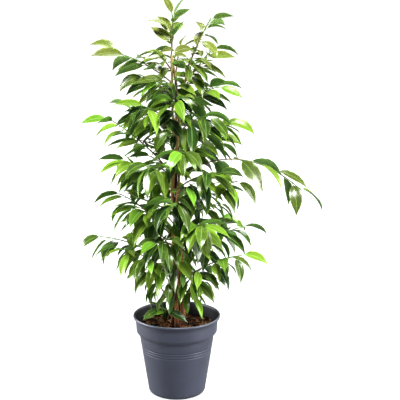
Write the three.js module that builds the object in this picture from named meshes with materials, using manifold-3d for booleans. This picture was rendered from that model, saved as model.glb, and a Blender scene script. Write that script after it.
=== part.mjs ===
// Weeping fig (Ficus benjamina) in a nursery pot.
// Millimetres, +Z up, the foot of the pot centred on the origin, +X to the right of someone who
// looks along +Y. Azimuths are degrees from +X, anticlockwise from above.

import * as THREE from 'three';
import { mergeVertices } from 'three/addons/utils/BufferGeometryUtils.js';
import Module from 'manifold-3d';

const wasm = await Module();
wasm.setup();

// Pot
const potHeight = 197;
const rimRadius = 105;
const potSides = 28; // a multiple of four, as for the soil inside it
const wall = 1.8;
const draft = 0.03; // the tapered wall measured level, less its thickness
const taper = 0.154; // outward for each mm of height
const groundRadius = 67; // where the tapered wall would meet the ground
const footRise = 3;
const floorTop = 5.5;
const footCorner = 13;
const footInner = 47;
const innerCorner = 7;
const padRadius = 16;
const chamfer = 2; // run of the short slopes on the base
const grooveLow = 107;
const groovePitch = 3.25;
const grooveDepth = 0.9;
const grooveCount = 3;
const ledgeLow = 148;
const ledgeHigh = 156.5;
const collarRadius = 97;
const drainRadius = 4.5;
const drainRing = 34;
const drainSides = 6;
const drainCount = 5;
const notchWidth = 13;
const notchHeight = 2.6;

// Soil
const seat = 0.35; // clearance between touching pieces
const soilTop = 166;
const soilRings = [86, 72, 56, 39, 21];
const chipRelief = 5;
const rootDepth = 60;
const holeSides = 10;

// Cane and woody stems
const caneRadius = 3;
const caneSides = 8;
const caneTop = 771;
const footRing = 15; // from the cane to each stem where it leaves the soil
const gatherLow = 182;
const gatherHigh = 320;
const twist = 1; // degrees for each mm of height
const stemStep = 36;
const stemSides = 7;
const leanStart = 640;
const topMargin = 6; // no twig starts closer to the top of a stem
const stems = [
  { name: 'stem_tall', phase: 352, top: 822, thick: 7.2, thin: 2.3, lean: [-5, 2] },
  { name: 'stem_second', phase: 270, top: 800, thick: 5, thin: 2.2, lean: [26, -5] },
  { name: 'stem_short', phase: 128, top: 700, thick: 4.6, thin: 2.2, lean: [8, 10] },
];

// Habits of the leaves. `lift` is the pitch at which a blade starts, `droop` how far it bends down
// along its length, and `spread` the angle it stands at beside the root of its twig.
const habits = {
  rising: { lift: 52, droop: 38, spread: 137.5 },
  level: { lift: 16, droop: 42, spread: 68 },
  spreading: { lift: 4, droop: 50, spread: 68 },
  drooping: { lift: -8, droop: 56, spread: 70 },
  hanging: { lift: -26, droop: 54, spread: 68 },
  lying: { lift: 4, droop: 24, spread: 60 },
};

// Sprays. Each twig leaves a stem at the height `from`, or goes on from the top of one. Its tip is
// `reach` from the plant's axis and `rise` above its root, and `arch` bows it upwards. Its leaves
// are `size` long.
const sprays = [
  { name: 'leader', top: 'stem_tall', azimuth: 138, reach: 8, rise: 86, arch: 0,
    leaves: 6, size: 62, habit: 'rising', tone: 'mid' },
  { name: 'top_right', top: 'stem_second', azimuth: 0, reach: 78, rise: 100, arch: 8,
    leaves: 7, size: 64, habit: 'level', tone: 'mid' },
  { name: 'crown_left', from: 783, azimuth: 190, reach: 44, rise: 46, arch: 8,
    leaves: 5, size: 60, habit: 'level', tone: 'mid' },
  { name: 'crown_back', from: 770, azimuth: 80, reach: 62, rise: 60, arch: 10,
    leaves: 6, size: 60, habit: 'level', tone: 'mid' },
  { name: 'crown_front', from: 764, azimuth: 285, reach: 58, rise: 56, arch: 10,
    leaves: 6, size: 62, habit: 'spreading', tone: 'dark' },
  { name: 'crown_left_long', from: 752, azimuth: 180, reach: 130, rise: 72, arch: 20,
    leaves: 7, size: 88, habit: 'level', tone: 'mid' },
  { name: 'crown_right', from: 750, azimuth: 2, reach: 84, rise: 82, arch: 12,
    leaves: 7, size: 70, habit: 'level', tone: 'mid' },
  { name: 'crown_right_low', from: 732, azimuth: 28, reach: 74, rise: 60, arch: 12,
    leaves: 6, size: 64, habit: 'spreading', tone: 'dark' },
  { name: 'crown_front_left', from: 728, azimuth: 238, reach: 74, rise: 44, arch: 12,
    leaves: 7, size: 66, habit: 'spreading', tone: 'dark' },
  { name: 'upper_left', from: 714, azimuth: 172, reach: 86, rise: 58, arch: 14,
    leaves: 7, size: 74, habit: 'spreading', tone: 'dark' },
  { name: 'upper_back_left', from: 700, azimuth: 128, reach: 92, rise: 50, arch: 14,
    leaves: 7, size: 70, habit: 'spreading', tone: 'mid' },
  { name: 'upper_right', from: 694, azimuth: 348, reach: 96, rise: 56, arch: 16,
    leaves: 8, size: 74, habit: 'spreading', tone: 'mid' },
  { name: 'upper_front', from: 682, azimuth: 268, reach: 88, rise: 44, arch: 14,
    leaves: 8, size: 78, habit: 'spreading', tone: 'mid' },
  { name: 'upper_back', from: 672, azimuth: 70, reach: 96, rise: 46, arch: 14,
    leaves: 7, size: 72, habit: 'spreading', tone: 'dark' },
  { name: 'upper_front_left', from: 656, azimuth: 222, reach: 100, rise: 58, arch: 16,
    leaves: 8, size: 84, habit: 'spreading', tone: 'dark' },
  { name: 'upper_front_right', from: 644, azimuth: 312, reach: 104, rise: 48, arch: 16,
    leaves: 8, size: 78, habit: 'drooping', tone: 'dark' },
  { name: 'shoulder_right', from: 606, azimuth: 0, reach: 120, rise: 52, arch: 28,
    leaves: 9, size: 84, habit: 'drooping', tone: 'mid' },
  { name: 'shoulder_back_left', from: 618, azimuth: 146, reach: 118, rise: 58, arch: 18,
    leaves: 8, size: 74, habit: 'spreading', tone: 'dark' },
  { name: 'rising_left', from: 548, azimuth: 183, reach: 156, rise: 128, arch: 22,
    leaves: 9, size: 76, habit: 'level', tone: 'mid' },
  { name: 'middle_back', from: 590, azimuth: 96, reach: 120, rise: 52, arch: 18,
    leaves: 7, size: 76, habit: 'drooping', tone: 'mid' },
  { name: 'middle_front', from: 580, azimuth: 282, reach: 112, rise: 34, arch: 18,
    leaves: 8, size: 80, habit: 'drooping', tone: 'mid' },
  { name: 'middle_front_left', from: 536, azimuth: 240, reach: 118, rise: 44, arch: 20,
    leaves: 8, size: 82, habit: 'drooping', tone: 'mid' },
  { name: 'middle_back_right', from: 552, azimuth: 42, reach: 130, rise: 52, arch: 18,
    leaves: 8, size: 76, habit: 'drooping', tone: 'dark' },
  { name: 'middle_left', from: 500, azimuth: 196, reach: 118, rise: 78, arch: 20,
    leaves: 8, size: 80, habit: 'drooping', tone: 'dark' },
  { name: 'middle_front_right', from: 512, azimuth: 322, reach: 124, rise: 46, arch: 20,
    leaves: 8, size: 80, habit: 'drooping', tone: 'dark' },
  { name: 'middle_back_left', from: 470, azimuth: 132, reach: 132, rise: 56, arch: 20,
    leaves: 7, size: 78, habit: 'drooping', tone: 'mid' },
  { name: 'middle_right', from: 456, azimuth: 346, reach: 142, rise: 74, arch: 20,
    leaves: 8, size: 80, habit: 'drooping', tone: 'mid' },
  { name: 'long_right', from: 540, azimuth: 2, reach: 292, rise: -29, arch: 108,
    leaves: 12, size: 96, habit: 'hanging', tone: 'mid' },
  { name: 'waist_front', from: 470, azimuth: 270, reach: 118, rise: 24, arch: 20,
    leaves: 8, size: 84, habit: 'drooping', tone: 'dark' },
  { name: 'waist_back', from: 440, azimuth: 70, reach: 134, rise: 50, arch: 20,
    leaves: 7, size: 78, habit: 'drooping', tone: 'dark' },
  { name: 'waist_left', from: 392, azimuth: 170, reach: 132, rise: 96, arch: 22,
    leaves: 8, size: 80, habit: 'drooping', tone: 'mid' },
  { name: 'waist_front_left', from: 404, azimuth: 216, reach: 126, rise: 74, arch: 22,
    leaves: 8, size: 84, habit: 'drooping', tone: 'mid' },
  { name: 'waist_front_right', from: 384, azimuth: 304, reach: 116, rise: 60, arch: 22,
    leaves: 8, size: 84, habit: 'drooping', tone: 'mid' },
  { name: 'low_right', from: 332, azimuth: 3, reach: 154, rise: 78, arch: 26,
    leaves: 9, size: 78, habit: 'drooping', tone: 'dark' },
  { name: 'low_back_right', from: 352, azimuth: 40, reach: 134, rise: 60, arch: 22,
    leaves: 8, size: 76, habit: 'drooping', tone: 'mid' },
  { name: 'low_back_left', from: 350, azimuth: 124, reach: 138, rise: 56, arch: 22,
    leaves: 7, size: 76, habit: 'drooping', tone: 'dark' },
  { name: 'low_front', from: 356, azimuth: 244, reach: 108, rise: 46, arch: 22,
    leaves: 7, size: 80, habit: 'drooping', tone: 'mid' },
  { name: 'low_left_far', from: 318, azimuth: 180, reach: 176, rise: 70, arch: 26,
    leaves: 9, size: 80, habit: 'drooping', tone: 'dark' },
  { name: 'low_left_front', from: 296, azimuth: 204, reach: 150, rise: 84, arch: 24,
    leaves: 8, size: 78, habit: 'drooping', tone: 'mid' },
  { name: 'low_left_near', from: 276, azimuth: 222, reach: 104, rise: 84, arch: 22,
    leaves: 7, size: 74, habit: 'hanging', tone: 'mid' },
  { name: 'low_front_right', from: 286, azimuth: 343, reach: 158, rise: 70, arch: 22,
    leaves: 8, size: 74, habit: 'drooping', tone: 'dark' },
  { name: 'low_right_near', from: 262, azimuth: 312, reach: 74, rise: 60, arch: 16,
    leaves: 6, size: 66, habit: 'hanging', tone: 'mid' },
  { name: 'low_back', from: 292, azimuth: 84, reach: 120, rise: 62, arch: 22,
    leaves: 6, size: 72, habit: 'drooping', tone: 'mid' },
  { name: 'inner_high', from: 626, azimuth: 258, reach: 66, rise: 30, arch: 12,
    leaves: 5, size: 74, habit: 'drooping', tone: 'lime' },
  { name: 'inner_middle', from: 506, azimuth: 292, reach: 70, rise: 26, arch: 12,
    leaves: 5, size: 78, habit: 'drooping', tone: 'lime' },
  { name: 'inner_low', from: 322, azimuth: 252, reach: 66, rise: 34, arch: 12,
    leaves: 5, size: 74, habit: 'hanging', tone: 'dark' },
  { name: 'base_front', from: 236, azimuth: 232, reach: 46, rise: 66, arch: 8,
    leaves: 5, size: 58, habit: 'hanging', tone: 'dark' },
  { name: 'base_front_right', from: 252, azimuth: 326, reach: 52, rise: 50, arch: 8,
    leaves: 5, size: 66, habit: 'hanging', tone: 'mid' },
  { name: 'base_left', from: 222, azimuth: 188, reach: 66, rise: 88, arch: 0,
    leaves: 5, size: 64, habit: 'hanging', tone: 'dark' },
  { name: 'base_right', from: 228, azimuth: 15, reach: 72, rise: 64, arch: 10,
    leaves: 5, size: 62, habit: 'hanging', tone: 'mid' },
  { name: 'rim_left', from: 196, azimuth: 208, reach: 50, rise: 28, arch: 8,
    leaves: 3, size: 58, habit: 'lying', tone: 'mid' },
];

// Twigs and leaves
const twigHalfWidth = 1.25;
const twigHalfHeight = [1.9, 1.15]; // at its root and at its tip
const twigStep = 34;
const bareTwig = 0.16; // share of the twig before its first leaf
const petiole = 12;
const petioleHalf = 0.85;
const blade = 1.6; // thickness at the midrib
const slender = 0.45; // width over length
const outline = [[0.2, 0.82], [0.48, 1], [0.82, 0.27]]; // along the blade, and share of its width
const ribAt = 0.45;
const petioleRise = 8; // steeper than the blade by this
const shrink = 0.2; // leaves get this much shorter from the root of a twig to its tip
const closeUp = 34; // and stand this much nearer to its line
const scatter = { azimuth: 54, lift: 50, droop: 40, roll: 90, fold: 16, length: 0.2 };
const leastFold = 14;

// Clearance grid
const cell = 3;
const sampleStep = 2;
const gridHalf = 256;
const turnsTried = [0, 15, -15, 30, -30, 45, -45, 62, -62];
const tipsTried = [0, -14, 12, -28, 24];
const sizesTried = [1, 0.88, 0.76, 0.66];
const twigTurnsTried = [0, 7, -7, 14, -14, 21, -21];
const twigShiftsTried = [0, 8, -8, 16, -16];
const twigSeat = 0.45; // from a stem to the root of a twig
const twigToWood = 0.1; // least gap from a twig to any stem and to the cane
const leafToWood = 3;

const colours = {
  pot: 0x464c5e,
  soil: 0x7a4a34,
  cane: 0x2a1d22,
  bark: 0xa9835a,
  dark: 0x1f4a22,
  mid: 0x43702a,
  lime: 0x86b036,
};

const rad = THREE.MathUtils.degToRad;
const up = new THREE.Vector3(0, 0, 1);
const aheadOf = (azimuth) => new THREE.Vector3(Math.cos(rad(azimuth)), Math.sin(rad(azimuth)), 0);

// Draws between 0 and 1, the same on every run.
function draws(seed) {
  let state = seed;
  return () => {
    state = (state * 16807) % 2147483647;
    return state / 2147483647;
  };
}

// A closed surface through rings of points, each ring anticlockwise about the way ahead. A ring of
// one point closes an end to a tip, and other ends are closed flat.
function loft(rings) {
  const starts = rings.map((ring, r) => rings.slice(0, r).reduce((sum, s) => sum + s.length, 0));
  const faces = [];
  for (let r = 0; r + 1 < rings.length; r++) {
    const low = rings[r].length;
    const high = rings[r + 1].length;
    const sides = Math.max(low, high);
    for (let i = 0; i < sides; i++) {
      const a = starts[r] + (i % low);
      const b = starts[r] + ((i + 1) % low);
      const c = starts[r + 1] + ((i + 1) % high);
      const d = starts[r + 1] + (i % high);
      if (low > 1) faces.push(a, b, c);
      if (high > 1) faces.push(a, c, d);
    }
  }
  const last = starts[rings.length - 1];
  for (let i = 1; i + 1 < rings[0].length; i++) faces.push(0, i + 1, i);
  for (let i = 1; i + 1 < rings.at(-1).length; i++) faces.push(last, last + i, last + i + 1);
  return surface(rings.flat(), faces);
}

function surface(points, faces) {
  const geometry = new THREE.BufferGeometry();
  const places = points.flatMap((point) => point.toArray());
  geometry.setAttribute('position', new THREE.Float32BufferAttribute(places, 3));
  geometry.setIndex(faces);
  return geometry;
}

function ring(centre, side, normal, radius, sides) {
  const points = [];
  for (let i = 0; i < sides; i++) {
    const angle = (2 * Math.PI * i) / sides;
    points.push(
      centre.clone()
        .addScaledVector(side, radius * Math.cos(angle))
        .addScaledVector(normal, radius * Math.sin(angle)),
    );
  }
  return points;
}

function levelRing(x, y, z, radius, sides) {
  const centre = new THREE.Vector3(x, y, z);
  return ring(centre, new THREE.Vector3(1, 0, 0), new THREE.Vector3(0, 1, 0), radius, sides);
}

// A geometry as a solid for the boolean operations, and a solid back as a geometry.
function solid(geometry) {
  const bare = geometry.clone();
  bare.deleteAttribute('normal');
  bare.deleteAttribute('uv');
  const merged = mergeVertices(bare, 1e-4);
  const corners = merged.index.array;
  const kept = [];
  for (let i = 0; i < corners.length; i += 3) {
    const [a, b, c] = corners.slice(i, i + 3);
    if (a !== b && b !== c && c !== a) kept.push(a, b, c);
  }
  return new wasm.Manifold(
    new wasm.Mesh({
      numProp: 3,
      vertProperties: merged.attributes.position.array,
      triVerts: new Uint32Array(kept),
    }),
  );
}

function geometryOf(made) {
  const mesh = made.getMesh();
  const geometry = new THREE.BufferGeometry();
  geometry.setAttribute('position', new THREE.BufferAttribute(mesh.vertProperties, 3));
  geometry.setIndex(new THREE.BufferAttribute(mesh.triVerts, 1));
  return geometry;
}

function named(name, geometry, colour, roughness) {
  const faceted = geometry.toNonIndexed();
  faceted.computeVertexNormals();
  const mesh = new THREE.Mesh(
    faceted,
    new THREE.MeshStandardMaterial({ color: colour, roughness, metalness: 0 }),
  );
  mesh.name = name;
  return mesh;
}

// Pot
const bodyRadius = (z) => groundRadius + taper * z;
const innerRadius = (z) => bodyRadius(z) - wall - draft;

function potProfile() {
  const points = [
    [0, 0],
    [padRadius, 0],
    [padRadius + chamfer, footRise],
    [footInner - chamfer, footRise],
    [footInner, 0],
  ];
  const cornerCentre = bodyRadius(footCorner) - footCorner;
  for (const degrees of [-90, -60, -30, 0]) {
    const angle = rad(degrees);
    points.push([
      cornerCentre + footCorner * Math.cos(angle),
      footCorner + footCorner * Math.sin(angle),
    ]);
  }
  for (let step = 0; step <= 2 * grooveCount; step++) {
    const z = grooveLow + groovePitch * step;
    points.push([bodyRadius(z) - (step % 2 ? grooveDepth : 0), z]);
  }
  points.push(
    [bodyRadius(ledgeLow), ledgeLow],
    [collarRadius, ledgeHigh],
    [collarRadius + 1.4, potHeight - 20],
    [collarRadius + 2.4, potHeight - 9],
    [rimRadius - 1, potHeight - 6.5],
    [rimRadius, potHeight - 3.5],
    [rimRadius - 0.8, potHeight - 0.8],
    [rimRadius - 2.6, potHeight],
    [rimRadius - 5, potHeight - 1.6],
    [collarRadius - 0.4, potHeight - 20],
    [collarRadius - wall, ledgeHigh + 1],
    [innerRadius(ledgeLow + 1.5), ledgeLow + 1.5],
    [innerRadius(floorTop + innerCorner), floorTop + innerCorner],
    [innerRadius(floorTop) - innerCorner / 3, floorTop + innerCorner / 4],
    [innerRadius(floorTop) - innerCorner, floorTop],
    [0, floorTop],
  );
  return points.map(([r, z]) => new THREE.Vector2(r, z));
}

function makePot() {
  let pot = solid(new THREE.LatheGeometry(potProfile(), potSides).rotateX(Math.PI / 2));
  for (let i = 0; i < drainCount; i++) {
    const angle = (2 * Math.PI * (i + 0.5)) / drainCount;
    const hole = new THREE.CylinderGeometry(drainRadius, drainRadius, 3 * floorTop, drainSides)
      .rotateX(Math.PI / 2)
      .translate(drainRing * Math.cos(angle), drainRing * Math.sin(angle), floorTop);
    const notch = new THREE.BoxGeometry(24, notchWidth, 2 * notchHeight)
      .translate(footInner + 9, 0, 0)
      .rotateZ(angle - Math.PI / 8);
    pot = pot.subtract(solid(hole)).subtract(solid(notch));
  }
  return named('pot', geometryOf(pot), colours.pot, 0.45);
}

// Soil, up the inside of the pot and closed by a rough top
function makeSoil() {
  const draw = draws(7351);
  const low = floorTop + innerCorner;
  const wallRings = [
    [innerRadius(floorTop) - innerCorner - seat, floorTop + seat],
    [innerRadius(low) - 2 * seat, low + seat],
    [innerRadius(ledgeLow + 1.5) - seat, ledgeLow + 1.7],
    [collarRadius - wall - seat, ledgeHigh + 1.3],
    [collarRadius - wall - seat, soilTop],
  ];
  const rings = [[new THREE.Vector3(0, 0, floorTop + seat)]];
  for (const [radius, z] of wallRings) rings.push(levelRing(0, 0, z, radius, potSides));
  for (const radius of soilRings) {
    const level = levelRing(0, 0, soilTop, radius, potSides);
    for (const point of level) point.z += chipRelief * (draw() - 0.35);
    rings.push(level);
  }
  rings.push([new THREE.Vector3(0, 0, soilTop)]);
  let soil = solid(loft(rings));
  const standing = stems.map((stem) => [...stemPlace(stem, 0), stem.thick]);
  standing.push([0, 0, caneRadius]);
  for (const [x, y, radius] of standing) {
    const holeRadius = (radius + seat) / Math.cos(Math.PI / holeSides);
    const hole = new THREE.CylinderGeometry(holeRadius, holeRadius, 2 * rootDepth, holeSides)
      .rotateX(Math.PI / 2)
      .translate(x, y, soilTop);
    soil = soil.subtract(solid(hole));
  }
  return named('soil', geometryOf(soil), colours.soil, 0.95);
}

// Woody stems
function stemRadius(stem, z) {
  const grown = THREE.MathUtils.clamp((z - soilTop) / (stem.top - soilTop), 0, 1);
  return stem.thick + (stem.thin - stem.thick) * grown;
}

// Upright to gatherLow, drawn in to the cane by gatherHigh, then wound round it, and leaning away
// with the square of the height above leanStart.
function stemPlace(stem, z) {
  const gathered = THREE.MathUtils.smoothstep(z, gatherLow, gatherHigh);
  const close = caneRadius + stemRadius(stem, z) + 1;
  const radius = footRing + (close - footRing) * gathered;
  const angle = rad(stem.phase + twist * Math.max(0, z - gatherHigh));
  const lean = Math.max(0, (z - leanStart) / (stem.top - leanStart)) ** 2;
  return [
    radius * Math.cos(angle) + stem.lean[0] * lean,
    radius * Math.sin(angle) + stem.lean[1] * lean,
  ];
}

function stemHeights(stem) {
  const heights = [soilTop - rootDepth + seat];
  for (let z = gatherLow; z < stem.top - stemStep / 2; z += stemStep) heights.push(z);
  return [...heights, stem.top];
}

// A stem runs straight from each ring to the next.
function stemAxis(stem, z) {
  const heights = stemHeights(stem);
  const above = Math.max(1, heights.findIndex((height) => height >= z));
  const [low, high] = [heights[above - 1], heights[above]];
  const [x0, y0] = stemPlace(stem, low);
  const [x1, y1] = stemPlace(stem, high);
  const share = (z - low) / (high - low);
  return [x0 + (x1 - x0) * share, y0 + (y1 - y0) * share];
}

function makeStem(stem) {
  const rings = stemHeights(stem).map((z) =>
    levelRing(...stemPlace(stem, z), z, stemRadius(stem, z), stemSides),
  );
  return named(stem.name, loft(rings), colours.bark, 0.8);
}

function makeCane() {
  const bottom = soilTop - rootDepth + seat;
  const rings = [bottom, caneTop].map((z) => levelRing(0, 0, z, caneRadius, caneSides));
  return named('support_cane', loft(rings), colours.cane, 0.6);
}

// Gap from a point to the nearest stem or to the cane, measured level.
function woodGap(point) {
  let gap = point.z < caneTop + leafToWood ? Math.hypot(point.x, point.y) - caneRadius : Infinity;
  for (const stem of stems) {
    if (point.z > stem.top + leafToWood) continue;
    const z = Math.min(point.z, stem.top);
    const [x, y] = stemAxis(stem, z);
    gap = Math.min(gap, Math.hypot(point.x - x, point.y - y) - stemRadius(stem, z));
  }
  return gap;
}

// Clearance grid: cells that hold twigs and leaves, each marked with the cells round it
const leafCells = new Set();
const twigCells = new Map();
const twigCores = new Map();

function cellOf(point) {
  const x = Math.floor(point.x / cell) + gridHalf;
  const y = Math.floor(point.y / cell) + gridHalf;
  const z = Math.floor(point.z / cell);
  return (x * 512 + y) * 512 + z;
}

function cellsRound(points) {
  const found = new Set();
  for (const key of new Set(points.map(cellOf))) {
    for (const x of [-1, 0, 1]) {
      for (const y of [-1, 0, 1]) {
        for (const z of [-1, 0, 1]) found.add(key + (x * 512 + y) * 512 + z);
      }
    }
  }
  return found;
}

function insidePot(point) {
  const radius = Math.hypot(point.x, point.y);
  const overRim = radius > collarRadius - 6 && radius < rimRadius + 4 && point.z < potHeight + 4;
  const inSoil = radius < collarRadius && point.z < soilTop + 8;
  return overRim || inSoil;
}

// Twigs. Each starts on the stem that stands furthest out its way at that height, or on the end
// of the stem that it continues.
function twigRoot(spray, azimuth, from) {
  const out = aheadOf(azimuth);
  const steep = Math.atan2(spray.rise / 2 + spray.arch, spray.reach / 2);
  if (spray.top) {
    const stem = stems.find((s) => s.name === spray.top);
    const lift = seat + twigHalfHeight[0] * Math.cos(steep);
    return new THREE.Vector3(...stemPlace(stem, stem.top), stem.top + lift);
  }
  let best = null;
  for (const stem of stems) {
    if (stem.top < from + topMargin) continue;
    const [x, y] = stemAxis(stem, from);
    const far = x * out.x + y * out.y + stemRadius(stem, from);
    if (!best || far > best.far) best = { far, stem, x, y };
  }
  const away = stemRadius(best.stem, from) + twigSeat + twigHalfHeight[0] * Math.sin(steep);
  return new THREE.Vector3(best.x + away * out.x, best.y + away * out.y, from);
}

// A twig is a parabola from its root to its tip: a quadratic Bezier curve whose middle control
// point is the middle of the chord, lifted by the arch.
function makeTwig(spray, azimuth, from) {
  const out = aheadOf(azimuth);
  const root = twigRoot(spray, azimuth, from);
  const reach = spray.reach - (root.x * out.x + root.y * out.y);
  const tip = root.clone().addScaledVector(out, reach).addScaledVector(up, spray.rise);
  const middle = root.clone().lerp(tip, 0.5).addScaledVector(up, spray.arch);
  const curve = new THREE.QuadraticBezierCurve3(root, middle, tip);
  const side = up.clone().cross(out);
  return { azimuth, side, curve, length: root.distanceTo(middle) + middle.distanceTo(tip) };
}

// A twig is four-sided, of one width all along and thinner in height towards its tip, so that its
// faces are flat.
function twigRing(twig, t) {
  const centre = twig.curve.getPoint(t);
  const normal = twig.curve.getTangent(t).cross(twig.side);
  const half = THREE.MathUtils.lerp(...twigHalfHeight, t);
  return [[1, -1], [1, 1], [-1, 1], [-1, -1]].map(([across, above]) =>
    centre.clone()
      .addScaledVector(twig.side, across * twigHalfWidth)
      .addScaledVector(normal, above * half),
  );
}

function twigSamples(twig) {
  const steps = Math.ceil(twig.length / sampleStep);
  const points = [];
  for (let i = 0; i <= steps; i++) points.push(...twigRing(twig, i / steps));
  return points;
}

function twigClear(points) {
  return points.every(
    (point) => !twigCells.has(cellOf(point)) && woodGap(point) > twigToWood && !insidePot(point),
  );
}

function placeTwig(spray, index) {
  for (const shift of twigShiftsTried) {
    for (const turn of twigTurnsTried) {
      const twig = makeTwig(spray, spray.azimuth + turn, spray.from + shift);
      const points = twigSamples(twig);
      if (!spray.top && !twigClear(points)) continue;
      for (const key of cellsRound(points)) {
        twigCells.set(key, twigCells.has(key) ? -1 : index);
      }
      for (const point of points) twigCores.set(cellOf(point), index);
      return twig;
    }
  }
  return null;
}

// Leaves. The midrib is an arc that starts at the pitch `lift` and bends down by `droop`.
function leafAt(leaf, t) {
  const pitch = leaf.lift - leaf.droop * t;
  const bend = leaf.length / leaf.droop;
  const point = leaf.base.clone()
    .addScaledVector(leaf.out, bend * (Math.sin(leaf.lift) - Math.sin(pitch)))
    .addScaledVector(up, bend * (Math.cos(pitch) - Math.cos(leaf.lift)));
  const tangent = leaf.out.clone().multiplyScalar(Math.cos(pitch)).addScaledVector(up, Math.sin(pitch));
  const side = up.clone().cross(leaf.out).applyAxisAngle(tangent, leaf.roll);
  return { point, side, normal: tangent.cross(side) };
}

function makeLeaf({ root, azimuth, lift, droop, length, roll, fold }) {
  const out = aheadOf(azimuth);
  const pitch = rad(lift + petioleRise);
  const base = root.clone()
    .addScaledVector(out, petiole * Math.cos(pitch))
    .addScaledVector(up, petiole * Math.sin(pitch));
  return { root, out, base, length, lift: rad(lift), droop: rad(droop), roll: rad(roll), fold: rad(fold) };
}

// Corner points of a leaf: the petiole's root and the blade's base (left, right and bottom each),
// left and right edges by the outline, the midrib's top and bottom, and the tip.
function leafPoints(leaf) {
  const { side, normal } = leafAt(leaf, 0);
  const points = [];
  for (const centre of [leaf.root, leaf.base]) {
    const [left, , right, bottom] = ring(centre, side, normal, petioleHalf, 4);
    points.push(left, right, bottom);
  }
  for (const [t, share] of outline) {
    const row = leafAt(leaf, t);
    const half = (leaf.length * slender * share) / 2;
    for (const hand of [1, -1]) {
      points.push(
        row.point.clone()
          .addScaledVector(row.side, hand * half * Math.cos(leaf.fold))
          .addScaledVector(row.normal, half * Math.sin(leaf.fold)),
      );
    }
  }
  const rib = leafAt(leaf, ribAt);
  points.push(rib.point.clone().addScaledVector(rib.normal, blade / 2));
  points.push(rib.point.clone().addScaledVector(rib.normal, -blade / 2));
  points.push(leafAt(leaf, 1).point);
  return points;
}

const leafTop = [
  [3, 4, 12],
  [3, 12, 6], [6, 12, 8], [8, 12, 10], [10, 12, 14],
  [4, 7, 12], [12, 7, 9], [12, 9, 11], [12, 11, 14],
];
const leafBottom = [
  [4, 5, 7], [5, 13, 7], [7, 13, 9], [9, 13, 11], [11, 13, 14],
  [5, 3, 6], [5, 6, 13], [13, 6, 8], [13, 8, 10], [13, 10, 14],
];
const petioleFaces = [
  [0, 2, 1],
  [0, 1, 4], [0, 4, 3], [1, 2, 5], [1, 5, 4], [2, 0, 3], [2, 3, 5],
];
const leafFaces = [...petioleFaces, ...leafTop, ...leafBottom].flat();

function leafSamples(leaf) {
  const corners = leafPoints(leaf);
  const samples = [leaf.base];
  for (const [a, b, c] of leafTop) {
    const [p, q, r] = [corners[a], corners[b], corners[c]];
    const longest = Math.max(p.distanceTo(q), q.distanceTo(r), r.distanceTo(p));
    const steps = Math.ceil(longest / sampleStep);
    for (let i = 0; i <= steps; i++) {
      for (let j = 0; i + j <= steps; j++) {
        samples.push(
          p.clone()
            .addScaledVector(q.clone().sub(p), i / steps)
            .addScaledVector(r.clone().sub(p), j / steps),
        );
      }
    }
  }
  return samples;
}

function leafClear(samples, index) {
  return samples.every((point) => {
    const key = cellOf(point);
    const owner = twigCells.get(key);
    const free = owner === undefined || (owner === index && !twigCores.has(key));
    return free && !leafCells.has(key) && woodGap(point) > leafToWood && !insidePot(point);
  });
}

// Tries a leaf as drawn, then turned, tipped or smaller, and keeps the first that clears the rest.
function placeLeaf(wish, index) {
  for (const scale of sizesTried) {
    for (const tip of tipsTried) {
      for (const turn of turnsTried) {
        const leaf = makeLeaf({
          ...wish,
          azimuth: wish.azimuth + turn,
          lift: wish.lift + tip,
          length: wish.length * scale,
        });
        const samples = leafSamples(leaf);
        if (!leafClear(samples, index)) continue;
        for (const key of cellsRound(samples)) leafCells.add(key);
        return leaf;
      }
    }
  }
  return null;
}

// Leaves alternate left and right along a twig, or wind round it where it stands upright, and the
// last one carries on from its tip.
function placeLeaves(spray, twig, index) {
  const draw = draws((29590123 * (index + 1)) % 2147483647);
  const habit = habits[spray.habit];
  const placed = [];
  for (let i = 0; i < spray.leaves; i++) {
    const end = i === spray.leaves - 1;
    const along = bareTwig + ((1 - bareTwig) * (i + 0.5)) / (spray.leaves - 0.5);
    const t = end ? 0.985 : along;
    const hand = i % 2 ? 1 : -1;
    const winding = spray.habit === 'rising';
    const beside = winding ? habit.spread * i : hand * (habit.spread - closeUp * along);
    const wish = {
      root: twig.curve.getPoint(t),
      azimuth: twig.azimuth + (end ? 0 : beside) + scatter.azimuth * (draw() - 0.5),
      lift: habit.lift + scatter.lift * (draw() - 0.5),
      droop: habit.droop + scatter.droop * (draw() - 0.5),
      length: spray.size * (1.06 - shrink * along) * (1 + scatter.length * (draw() - 0.5)),
      roll: scatter.roll * (draw() - 0.5),
      fold: leastFold + scatter.fold * draw(),
    };
    const leaf = placeLeaf(wish, index);
    if (leaf) placed.push(leaf);
  }
  return placed;
}

function makeSpray(spray, twig, leaves) {
  const steps = Math.max(3, Math.round(twig.length / twigStep));
  const rings = [];
  for (let i = 0; i <= steps; i++) rings.push(twigRing(twig, i / steps));
  let grown = solid(loft(rings));
  for (const leaf of leaves) {
    grown = grown.add(solid(surface(leafPoints(leaf), leafFaces)));
  }
  return named(`spray_${spray.name}`, geometryOf(grown), colours[spray.tone], 0.4);
}

const plant = new THREE.Group();
plant.name = 'weeping_fig';
plant.add(makePot(), makeSoil(), makeCane(), ...stems.map(makeStem));
const twigs = sprays.map(placeTwig);
sprays.forEach((spray, index) => {
  const twig = twigs[index];
  if (!twig) return;
  plant.add(makeSpray(spray, twig, placeLeaves(spray, twig, index)));
});

export default plant;
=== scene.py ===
import math
from itertools import product

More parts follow.
